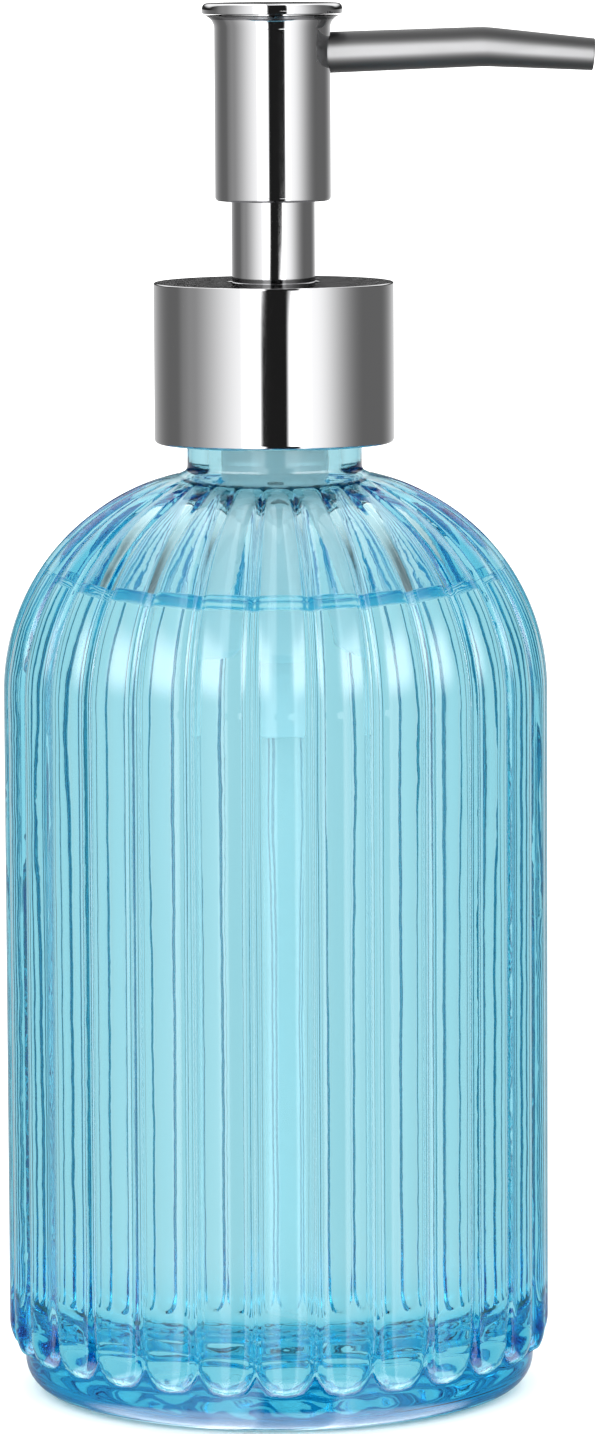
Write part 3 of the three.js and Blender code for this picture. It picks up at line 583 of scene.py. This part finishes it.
def ripple(angle, z):
    """Unevenness of the pressed glass, between -1 and 1."""
    broad = (
        0.34 * np.sin(5 * angle + z / 9.1 + 0.7)
        + 0.24 * np.sin(11 * angle - z / 5.3 + 2.1)
        + 0.16 * np.sin(19 * angle + z / 3.1 + 4.0)
        + 0.14 * np.sin(31 * angle - z / 1.9 + 1.3)
        + 0.12 * np.sin(47 * angle + z / 1.27 + 5.2)
    )
    short = (
        0.11 * np.sin(23 * angle + z / 0.83 + 2.0 * np.sin(z / 7.7))
        + 0.08 * np.sin(37 * angle - z / 0.51 + 1.6 * np.sin(z / 4.9 + 2))
        + 0.05 * np.sin(61 * angle + z / 0.34 + 0.4)
    )
    return broad + short * (0.7 + 0.5 * np.sin(3 * angle - z / 13))


def push_up(r):
    """Height of the hollow under the bottle at radius r, inside the ring that it stands on."""
    return 2.2 * smooth((29.3 - r) / 1.1) + 2.0 * (1 - min(r / 28.2, 1) ** 2)


def base_wave(angle, r):
    """Waviness of the bottle's floor, above and below, in millimetres."""
    x, y = r * np.cos(angle), r * np.sin(angle)
    waves = np.sin(x / 0.95 + 1.5 * np.sin(y / 3.1)) + np.sin(y / 1.1 + 1.3 * np.sin(x / 2.7) + 2)
    return 0.09 * waves * smooth((r - 1) / 4)


def bottle_angles(step):
    across = np.array(ACROSS_RIB[::step]) / RIB_PITCH
    angles = [(k + u) * 2 * math.pi / RIBS - math.pi / 2 for k in range(RIBS) for u in across]
    return np.array(angles), np.tile(across * RIB_PITCH, RIBS)


def outside_rows():
    """Rows of (radius, height) for the bottle's outside, from the base's middle up to the lip."""
    angle, s = bottle_angles(1)
    plain = np.ones_like(angle)
    rows = []
    rings = [*np.arange(1.5, 27.6, 0.8), 27.9, 28.2, 28.4, 28.6, 28.8, 29, 29.2, 29.4, 30, 31, 31.6]
    for r in rings:
        rows.append((r * plain, push_up(r) + base_wave(angle, r) * smooth((FOOT_INSIDE - r) / 3)))
    for deg in np.linspace(0, 90, 10):
        t = math.radians(deg)
        heel = HEEL_RADIUS + (DRUM_RADIUS - HEEL_RADIUS) * math.sin(t)
        rows.append((heel * plain, HEEL_HEIGHT * (1 - math.cos(t)) * plain))
    for z in np.concatenate([np.arange(5.0, 15.9, 0.32), np.linspace(16.3, SHOULDER_START, 54)]):
        distance = np.hypot(s, max(RIB_END - z, 0))
        share = 1 - rib_drop(distance) / RIB_DEPTH
        base = DRUM_RADIUS + (CREST_RADIUS - RIB_DEPTH - DRUM_RADIUS) * smooth((z - 8) / 6)
        rows.append((base + (CREST_RADIUS - base) * share, z * plain))
    for deg in np.concatenate([np.arange(2, 56, 2), np.arange(56, 78.6, 0.9)]):
        t = math.radians(deg)
        crest = SHOULDER_CENTRE + SHOULDER_ARC * math.cos(t)
        depth = (crest / CREST_RADIUS) ** 0.6 * smooth((75 - deg) / 14)
        radius = SHOULDER_ARC - depth * rib_drop(s)
        rows.append((SHOULDER_CENTRE + radius * math.cos(t), SHOULDER_START + radius * math.sin(t)))
    foot = SHOULDER_START + SHOULDER_ARC * math.sin(math.radians(78.4))
    for r, z in arc(NECK_RADIUS + 1.1, foot + 1.25, 1.1, 258, 180, 6):
        rows.append((r * plain, z * plain))
    turns_from = math.radians(-30)
    for z in np.arange(foot + 1.8, LIP_TOP - 1.0, 0.7):
        bead = np.zeros_like(angle)
        for k in range(-1, 3):
            wound = (angle - turns_from) / (2 * math.pi) + k
            centre = THREAD_TOP - THREAD_PITCH * THREAD_TURNS + THREAD_PITCH * wound
            ends = smooth((wound + 0.02) / 0.08) * smooth((1.27 - wound) / 0.08)
            bead = np.maximum(bead, 1.3 * smooth(1.35 - np.abs(z - centre) / 1.15) * ends)
        rows.append((NECK_RADIUS + bead, z * plain))
    for r, z in arc(NECK_RADIUS - 0.9, LIP_TOP - 0.9, 0.9, 0, 90, 5):
        rows.append((r * plain, z * plain))
    return angle, rows


def inside_arc(deg):
    """Radius of the inside of the shoulder at that angle of its arc: the glass thins as the ribs run out."""
    return INSIDE_ARC + 1.9 * smooth((deg - 25) / 45)


def inside_rows(offset=0.0, to_soap=False):
    """Rows for the bottle's inside, from the floor's middle up to the lip, or only to the edge of the soap.
    Each row is (radius, height, is it wet). offset moves the rows out into the glass."""
    angle, s = bottle_angles(2)
    plain = np.ones_like(angle)
    rows = []

    def uneven(z, weight):
        rib = np.floor((angle + math.pi / 2) * RIBS / (2 * math.pi) + 0.5)
        swell = np.exp(-(((z - 90 - 7 * np.sin(rib * 2.4)) / 15) ** 2)) * (0.5 + 0.5 * np.sin(rib * 1.9 + 1))
        follow = (0.10 + 0.4 * swell) * np.cos(angle * RIBS + RIBS * math.pi / 2) * smooth((z - 12) / 6)
        return weight * (0.11 * ripple(angle, z) + follow)

    corner_r, corner_z = INSIDE_RADIUS - CORNER, FLOOR_TOP + CORNER
    for r in np.linspace(1.5, corner_r - 0.7, 32):
        dome = FLOOR_DOME * (1 - (r / corner_r) ** 2)
        rows.append((r * plain, FLOOR_TOP + dome - offset + base_wave(angle + 0.5, r), 1.0))
    for r, z in arc(corner_r, corner_z, CORNER + offset, -90, -4, 16):
        fade = smooth((corner_z - z) / 5)
        wave = base_wave(angle + 0.5, r) * fade
        rows.append((r + uneven(z, 1 - fade) + 0.6 * wave, z + wave, 1.0))
    for z in np.linspace(corner_z, SHOULDER_START, 170):
        rows.append((INSIDE_RADIUS + offset + uneven(z, 1.0), z * plain, 1.0))
    shore = math.degrees(math.asin((SOAP_LEVEL + MENISCUS - SHOULDER_START) / inside_arc(35)))
    root_r = NECK_BORE + NECK_ROOT
    root_z = SHOULDER_START + math.sqrt((inside_arc(80) + NECK_ROOT) ** 2 - (root_r - SHOULDER_CENTRE) ** 2)
    reach = math.degrees(math.atan2(root_z - SHOULDER_START, root_r - SHOULDER_CENTRE))
    under_soap = np.linspace(0, shore - 0.1, SOAP_STEPS + 1)[1:]
    steps = np.concatenate([under_soap, np.linspace(shore + 0.1, reach, 44)])
    for deg in under_soap if to_soap else steps:
        t = math.radians(deg)
        radius = inside_arc(deg) + offset
        z = SHOULDER_START + radius * math.sin(t)
        r = SHOULDER_CENTRE + radius * math.cos(t) + uneven(z, smooth((80 - deg) / 40))
        rows.append((r, z * plain, 1.0 if deg < shore else 0.0))
    if not to_soap:
        for r, z in arc(root_r, root_z, NECK_ROOT, 180 + reach, 180, 12)[1:]:
            rows.append((r * plain, z * plain, 0.0))
        for z in np.linspace(root_z + 1, LIP_TOP - 0.7, 5):
            rows.append((NECK_BORE * plain, z * plain, 0.0))
        for r, z in arc(NECK_BORE + 0.7, LIP_TOP - 0.7, 0.7, 180, 90, 4):
            rows.append((r * plain, z * plain, 0.0))
    return angle, rows


def grid_faces(first, rows, columns):
    at = first + np.arange(rows * columns).reshape(rows, columns)
    right = np.roll(at, -1, 1)
    return np.stack([at[:-1], right[:-1], right[1:], at[1:]], -1).reshape(-1, 4)


def as_points(angle, rows):
    r = np.array([row[0] for row in rows])
    z = np.array([row[1] for row in rows])
    return np.stack([r * np.cos(angle), r * np.sin(angle), z], -1).reshape(-1, 3)


def mark(piece, name, values):
    attribute = piece.data.attributes.new(name, "FLOAT", "POINT")
    attribute.data.foreach_set("value", np.asarray(values, np.float32))


def glass_bottle():
    angle_out, out = outside_rows()
    angle_in, inner = inside_rows()
    columns_out, columns_in = len(angle_out), len(angle_in)
    points_out, points_in = as_points(angle_out, out), as_points(angle_in, inner)
    first_in = len(points_out)
    pole_out, pole_in = first_in + len(points_in), first_in + len(points_in) + 1
    poles = [[0, 0, push_up(0)], [0, 0, FLOOR_TOP + FLOOR_DOME]]
    points = np.concatenate([points_out, points_in, poles])
    quads = [
        grid_faces(0, len(out), columns_out),
        grid_faces(first_in, len(inner), columns_in)[:, ::-1],
    ]
    ring = np.arange(columns_out)
    triangles = [np.c_[np.full(columns_out, pole_out), np.roll(ring, -1), ring]]
    ring = first_in + np.arange(columns_in)
    triangles.append(np.c_[np.full(columns_in, pole_in), ring, np.roll(ring, -1)])
    lip = (len(out) - 1) * columns_out
    even, odd = lip + np.arange(0, columns_out, 2), lip + np.arange(1, columns_out, 2)
    here = first_in + (len(inner) - 1) * columns_in + np.arange(columns_in)
    beyond = np.roll(here, -1)
    triangles += [np.c_[even, odd, here], np.c_[odd, beyond, here], np.c_[odd, np.roll(even, -1), beyond]]
    piece = mesh_piece("bottle_glass", points, np.concatenate(quads), np.concatenate(triangles), glass, 50)
    under = []
    for r, z in ((row[0].max(), row[1].max()) for row in out):
        base = OPEN_FOOT if r > FOOT_INSIDE else PUSH_UP_WET
        under.append(0.0 if r > FOOT_OUTSIDE or z > FOOT_HEIGHT else base)
    wet = [FLOOR_WET if row[1].max() < WET_CORNER else row[2] for row in inner]
    wet_poles = [PUSH_UP_WET, FLOOR_WET]
    wet = np.concatenate([np.repeat(under, columns_out), np.repeat(wet, columns_in), wet_poles])
    mark(piece, "wet", wet)
    mark(piece, "inside", np.concatenate([np.zeros(first_in), np.ones(len(points_in)), [0, 1]]))
    return piece


def soap_liquid():
    angle, rows = inside_rows(SOAP_OVERLAP, to_soap=True)
    columns = len(angle)
    side = [1.0] * len(rows)
    edge = rows[-1][0]
    for inset in (0.02, 0.15, 0.3, 0.5, 0.8, 1.2, 1.8, 2.6, 3.6, 5, 8, 14, 20):
        z = SOAP_LEVEL + MENISCUS * math.exp(-inset / 1.6)
        rows.append((edge - inset, z * np.ones(columns)))
        side.append(0.0)
    poles = [[0, 0, FLOOR_TOP + FLOOR_DOME - SOAP_OVERLAP], [0, 0, SOAP_LEVEL]]
    points = np.concatenate([as_points(angle, rows), poles])
    ring = np.arange(columns)
    low, high = len(points) - 2, len(points) - 1
    top = (len(rows) - 1) * columns + ring
    triangles = np.concatenate(
        [
            np.c_[np.full(columns, low), np.roll(ring, -1), ring],
            np.c_[top, np.roll(top, -1), np.full(columns, high)],
        ]
    )
    piece = mesh_piece("soap_liquid", points, grid_faces(0, len(rows), columns), triangles, soap, 50)
    mark(piece, "side", np.concatenate([np.repeat(side, columns), [1, 0]]))
    return piece


# ---------------------------------------------------------------- pump

COLLAR_RADIUS, COLLAR_TOP, COLLAR_BOTTOM = 17.0, 158.4, 135.7
HEAD_RADIUS, HEAD_BOTTOM, HEAD_TOP = 8.2, 169.9, 197.69
RIM_RADIUS = 9.94
SPOUT_AXIS, SPOUT_RISE, SPOUT_DROP = 190.435, 1.85, 4.4
SPOUT_START, SPOUT_BEND, SPOUT_TIP = 3.2, 29.9, 45.38
ROOT_RADIUS, BEND_RADIUS, TIP_RADIUS = 2.92, 2.79, 2.26


def collar_cover():
    edge = arc(COLLAR_RADIUS - 0.6, COLLAR_BOTTOM + 0.6, 0.6, -80, 0, 6)
    profile = [
        (16.5, COLLAR_BOTTOM + 0.2),
        *edge,
        *arc(COLLAR_RADIUS - 0.22, COLLAR_TOP - 0.22, 0.22, 0, 90, 5),
        *arc(6.6 + 0.15, COLLAR_TOP - 0.15, 0.15, 90, 180, 3),
        (6.6, COLLAR_TOP - 0.6),
        (16.5, COLLAR_TOP - 0.6),
    ]
    piece = turn("collar_cover", profile, polished, 160)
    # the top face gets the duller, darker steel: its roughness is a finish, its darkness is painted shade
    piece.data.materials.append(turned)
    for face in piece.data.polygons:
        if face.normal.z > 0.9 and face.center.z > (COLLAR_TOP - 0.1) * MM:
            face.material_index = 1
    return piece


def cap_inner():
    return turn(
        "cap_inner",
        rounded(
            [
                (14.05, 136.3), (16.2, 136.3, 0.2), (16.2, 157.4, 0.3), (8.9, 157.4, 0.2),
                (8.9, 155.9), (14.05, 155.9),
            ]
        ),
        white_plastic,
    )


def guide_insert():
    return turn(
        "guide_insert",
        rounded(
            [
                (3.5, 136.0, 0.2), (5.2, 136.0, 0.2), (5.2, 138.3), (7.3, 138.3, 0.2), (7.3, 154.5),
                (12.8, 154.5), (12.8, 155.6, 0.2), (8.6, 155.6), (8.6, 157.4, 0.3), (6.2, 157.4, 0.3),
                (6.2, 139.2), (3.5, 139.2, 0.2),
            ]
        ),
        dark_plastic,
    )


def barrel_housing():
    body = turn(
        "barrel_housing",
        rounded(
            [
                (3.3, 95.0, 0.2), (4.2, 95.0, 0.3), (4.2, 103.6, 0.3), (6.6, 103.6, 0.4),
                (7.6, 104.6, 0.5), (7.6, 136.6, 0.3), (8.6, 137.6, 0.3), (8.6, 153.0),
                (12.8, 153.0, 0.2), (12.8, 154.2, 0.2), (7.6, 154.2, 0.2), (7.6, 138.0),
                (6.5, 138.0, 0.3), (6.5, 104.9), (1.7, 104.9), (1.4, 104.5), (1.4, 103.3), (3.3, 103.3),
            ]
        ),
        milky_plastic,
    )
    vent = turn("cutter", [(0, 2), (0.6, 2), (0.6, 9), (0, 9)], milky_plastic, 32)
    vent.data.transform(Matrix.Rotation(math.pi / 2, 4, "X"))
    vent.data.transform(Matrix.Diagonal((2, 1, 1, 1)))
    vent.data.transform(Matrix.Translation((0, 0, 127.6 * MM)))
    return cut(body, vent)


def gasket_washer():
    return turn(
        "gasket_washer",
        rounded([(8.9, 151.6, 0.2), (12.4, 151.6, 0.2), (12.4, 152.7, 0.2), (8.9, 152.7, 0.2)]),
        foam,
    )


def suction_tube():
    columns = 48
    angles = 2 * np.pi * np.arange(columns) / columns
    slant = math.tan(math.radians(22))
    rings = []
    for radius, z, slanted in (
        (2.46, 10.5, 1), (3.04, 10.5, 1), (3.1, 10.56, 1), (3.1, 20, 0), (3.1, 60, 0), (3.1, 102.9, 0),
        (3.04, 103.0, 0), (2.46, 103.0, 0), (2.4, 102.9, 0), (2.4, 60, 0), (2.4, 20, 0), (2.4, 10.56, 1),
    ):
        x, y = radius * np.cos(angles), radius * np.sin(angles)
        rings.append(np.c_[x, y, z + slanted * (3.1 + x) * slant])
    return sweep("suction_tube", rings, clear_plastic)


def ball_cage():
    body = turn(
        "ball_cage",
        rounded(
            [
                (2.25, 105.2), (6.3, 105.2, 0.1), (6.3, 105.8, 0.1), (2.75, 105.8), (2.75, 111.2, 0.3),
                (1.2, 111.2, 0.1), (1.2, 110.5, 0.1), (2.25, 110.5),
            ]
        ),
        white_plastic,
        64,
    )
    windows = [block((3.75, 1.8, 3.0), (1.875, 0, 108.6), deg) for deg in (0, 120, 240)]
    return cut(body, *windows)


def coil_spring():
    turns, steps, sides = 9.5, 28, 10
    radius, wire_radius, low, high = 3.4, 0.42, 106.0, 130.0
    closed_pitch = 2 * wire_radius + 0.06
    low, high = low + wire_radius, high - wire_radius
    pitch = (high - low - 2 * closed_pitch) / (turns - 2)
    turn_at = np.arange(int(turns * steps) + 1) / steps
    closed = np.minimum(turn_at, 1) + np.maximum(0, turn_at - (turns - 1))
    z = low + closed * closed_pitch + np.clip(turn_at - 1, 0, turns - 2) * pitch
    around = -2 * np.pi * np.arange(sides) / sides
    out, up = wire_radius * np.cos(around), wire_radius * np.sin(around)
    angle = 2 * np.pi * turn_at[:, None]
    rings = np.stack(
        [(radius + out) * np.cos(angle), (radius + out) * np.sin(angle), z[:, None] + up], -1
    )
    count = len(turn_at)
    points = np.concatenate([rings.reshape(-1, 3), [rings[0].mean(0), rings[-1].mean(0)]])
    ring = np.arange(sides)
    first, last = count * sides, count * sides + 1
    top = (count - 1) * sides + ring
    triangles = np.concatenate(
        [
            np.c_[np.full(sides, first), np.roll(ring, -1), ring],
            np.c_[top, np.roll(top, -1), np.full(sides, last)],
        ]
    )
    return mesh_piece("coil_spring", points, grid_faces(0, count, sides), triangles, wire)


def valve_ball():
    profile = [(0, 104.2), *arc(0, 106.2, 2.0, -84, 84, 28), (0, 108.2)]
    return turn("valve_ball", profile, wire, 48)


def piston_sleeve():
    return turn(
        "piston_sleeve",
        rounded(
            [
                (4.85, 123.0, 0.1), (5.85, 122.7, 0.2), (6.35, 122.9, 0.1), (6.35, 123.9, 0.2),
                (5.6, 124.9, 0.4), (5.6, 130.8, 0.4), (6.35, 131.8, 0.2), (6.35, 133.0, 0.2), (4.65, 133.0),
                (4.65, 135.6, 0.2), (3.45, 135.6, 0.1), (3.45, 133.8), (4.85, 133.1),
            ]
        ),
        white_plastic,
    )


def hollow_stem():
    body = turn(
        "hollow_stem",
        rounded(
            [
                (1.7, 131.7, 0.1), (3.2, 131.7, 0.2), (3.2, 151.7), (5.25, 152.1, 0.1), (5.25, 154.2, 0.2),
                (3.2, 154.2), (3.2, 178.0), (5.25, 178.0, 0.2), (5.25, 180.6, 0.1), (3.2, 181.0),
                (3.2, 188.6, 0.3), (1.7, 188.6, 0.1),
            ]
        ),
        white_plastic,
        64,
    )
    return cut(body, block((9.6, 1.2, 2.6), (0, 0, 131.7)))


def stem_foot():
    return turn(
        "stem_foot",
        rounded(
            [
                (4.1, 121.6, 0.1), (5.6, 121.6, 0.2), (5.6, 122.4, 0.2), (4.6, 122.4), (4.6, 131.4, 0.3),
                (1.5, 131.4), (1.5, 140.7, 0.3), (1.0, 141.7, 0.3), (0, 141.7), (0, 130.2), (4.1, 130.2),
            ]
        ),
        white_plastic,
        64,
    )


def steel_sleeve():
    return turn(
        "steel_sleeve",
        rounded([(5.5, 150.7, 0.1), (5.9, 150.7, 0.15), (5.9, 185.0, 0.1), (5.5, 185.0, 0.1)]),
        polished,
        128,
    )


def head_cover():
    top = 195.95
    flare_width, flare_height = 1.35, 1.8
    flare_radius = (flare_width**2 + flare_height**2) / (2 * flare_width)
    flare_deg = math.degrees(math.asin(flare_height / flare_radius))
    base = top - flare_height
    profile = [
        (7.7, HEAD_BOTTOM + 0.4),
        (7.85, HEAD_BOTTOM + 0.02),
        *arc(HEAD_RADIUS - 0.55, HEAD_BOTTOM + 0.55, 0.55, -65, 0, 6),
        *arc(HEAD_RADIUS + flare_radius, base, flare_radius, 180, 180 - flare_deg, 14),
        (HEAD_RADIUS + flare_width - 0.7, top),
        (7.7, base + 0.2),
    ]
    body = turn("head_cover", profile, polished, 160)
    # painted shade: faces turned up into the gap under the lid, and faces turned down under the lid's rim and
    # at the lower edge, get the dark steel
    body.data.materials.append(turned)
    for face in body.data.polygons:
        if face.normal.z > 0.3 or face.normal.z < -0.66:
            face.material_index = 1
    return cut(body, rod(2.95, 0, 11.2, SPOUT_AXIS, SPOUT_RISE))


def head_lid():
    profile = [
        (0, 195.2), (7.2, 195.2), (7.2, 196.2), (RIM_RADIUS - 0.35, 196.2),
        *arc(RIM_RADIUS - 0.25, 196.4, 0.2, -75, -17, 4),
        *arc(RIM_RADIUS - 1.35, 196.736, 1.35, -14, 22, 8),
        *arc(RIM_RADIUS - 0.747, 196.985, 0.7, 28, 90, 7),
        (0, HEAD_TOP),
    ]
    piece = turn("head_lid", profile, polished, 160)
    # painted shade: the lid's downward faces, over the gap to the shell, get the dark steel
    piece.data.materials.append(turned)
    for face in piece.data.polygons:
        if face.normal.z < -0.6:
            face.material_index = 1
    return piece


def core_block():
    body = turn(
        "core_block",
        [
            (6.1, 172.5), (7.4, 172.5), (7.4, 194.9), (0, 194.9), (0, 190.7), (1.8, 190.7), (1.8, 188.9),
            (3.45, 188.9), (3.45, 185.4), (6.1, 185.4),
        ],
        white_plastic,
        64,
    )
    return cut(body, rod(3.12, SPOUT_START - 0.4, 9.4, SPOUT_AXIS, SPOUT_RISE))


def spout_rings(inset, wall, tip_inset, sides=64):
    """Rings of a tapered tube, bent once: up its outside, round its lip and back down its inside."""
    rise, drop = math.radians(SPOUT_RISE), math.radians(SPOUT_DROP)
    bend_z = SPOUT_AXIS + SPOUT_BEND * math.tan(rise)
    soft, tip = 1.2, SPOUT_TIP - tip_inset

    def station(x):
        if x < SPOUT_BEND:
            share = (x - SPOUT_START) / (SPOUT_BEND - SPOUT_START)
            radius = ROOT_RADIUS + (BEND_RADIUS - ROOT_RADIUS) * share
        else:
            share = (x - SPOUT_BEND) / (SPOUT_TIP - SPOUT_BEND)
            radius = BEND_RADIUS + (TIP_RADIUS - BEND_RADIUS) * share
        t = np.clip((x - SPOUT_BEND + soft) / (2 * soft), 0, 1)
        slope = rise + (-drop - rise) * t
        straight = bend_z + (x - SPOUT_BEND) * (math.tan(rise) if x < SPOUT_BEND else -math.tan(drop))
        sag = (math.tan(rise) + math.tan(drop)) * soft / 4 * (1 - abs(2 * t - 1)) ** 2 if 0 < t < 1 else 0
        return x, straight - sag, slope, radius

    bend_from, bend_to = SPOUT_BEND - soft, SPOUT_BEND + soft
    before = np.linspace(SPOUT_START, bend_from, 8)
    bend = np.linspace(bend_from, bend_to, 9)[1:]
    after = np.linspace(bend_to, tip - 0.5, 6)[1:]
    along = [*before, *bend, *after, tip - 0.3, tip - 0.15]
    around = 2 * np.pi * np.arange(sides) / sides

    def ring(x, shrink):
        x, z, slope, radius = station(x)
        side, up = (radius - shrink) * np.cos(around), (radius - shrink) * np.sin(around)
        return np.c_[x - up * math.sin(slope), side, z + up * math.cos(slope)]

    outside = [ring(x, inset) for x in along] + [ring(tip - 0.05, inset + 0.04), ring(tip, inset + 0.14)]
    inside = [ring(tip, inset + wall - 0.1), ring(tip - 0.1, inset + wall)]
    inside += [ring(x, inset + wall) for x in along[::-1]]
    return outside + inside


def spout_tube():
    # the spout's steel has painted shade, darker towards its edges as seen from the camera
    return sweep("spout_tube", spout_rings(inset=0, wall=0.45, tip_inset=0), satin)


def spout_lining():
    return sweep("spout_lining", spout_rings(inset=0.65, wall=0.4, tip_inset=0.8), white_plastic)


# ---------------------------------------------------------------- assembly: piece, body, node, slot

PIECES = [
    (glass_bottle(), "bottle", "glass_bottle", "blue_glass"),
    (collar_cover(), "collar", "collar_shell", "polished_steel"),
    (cap_inner(), "collar", "threaded_cap", "white_plastic"),
    (guide_insert(), "pump", "stem_guide", "dark_plastic"),
    (barrel_housing(), "pump", "pump_barrel", "white_plastic"),
    (gasket_washer(), "pump", "neck_gasket", "gasket_foam"),
    (suction_tube(), "pump", "dip_tube", "clear_plastic"),
    (ball_cage(), "pump", "ball_retainer", "white_plastic"),
    (coil_spring(), "pump", "return_spring", "spring_steel"),
    (valve_ball(), "valve", "check_ball", "spring_steel"),
    (piston_sleeve(), "piston", "piston_seal", "clear_plastic"),
    (hollow_stem(), "head", "piston_stem", "white_plastic"),
    (stem_foot(), "head", "stem_plug", "white_plastic"),
    (steel_sleeve(), "head", "stem_sleeve", "polished_steel"),
    (core_block(), "head", "head_core", "white_plastic"),
    (head_cover(), "head", "head_shell", "polished_steel"),
    (head_lid(), "head", "head_cap", "polished_steel"),
    (spout_tube(), "head", "spout", "polished_steel"),
    (spout_lining(), "head", "spout_liner", "white_plastic"),
]
for piece, body, node, slot in PIECES:
    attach(piece, body)
    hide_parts(node)
    if node == "return_spring":
        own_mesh(piece)
    if node == "spout":
        piece.visible_glossy = False  # the head doesn't mirror its own spout
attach(soap_liquid(), "bottle")

# ---------------------------------------------------------------- floor

FLOOR_HALF, FLOOR_HEIGHT = 60000.0, -0.02  # in millimetres, just under the bottle


def studio_floor():
    def finish(n, sockets, output):
        tone = n.noise(n.stretched(1, 1, 1), 30.0, 3.0)
        n.put(n.ramp(tone, [(0.3, 0.9), (0.7, 0.93)]), sockets["Base Color"])
        sockets["Roughness"].default_value = 0.9
        sockets["Specular IOR Level"].default_value = 0.0

    signs = [(-1, -1), (1, -1), (1, 1), (-1, 1)]
    corners = [(x * FLOOR_HALF, y * FLOOR_HALF, FLOOR_HEIGHT) for x, y in signs]
    floor = mesh_piece("floor", corners, [(0, 1, 2, 3)], [], material("floor", finish))
    floor.visible_glossy = False
    floor.visible_transmission = False


studio_floor()
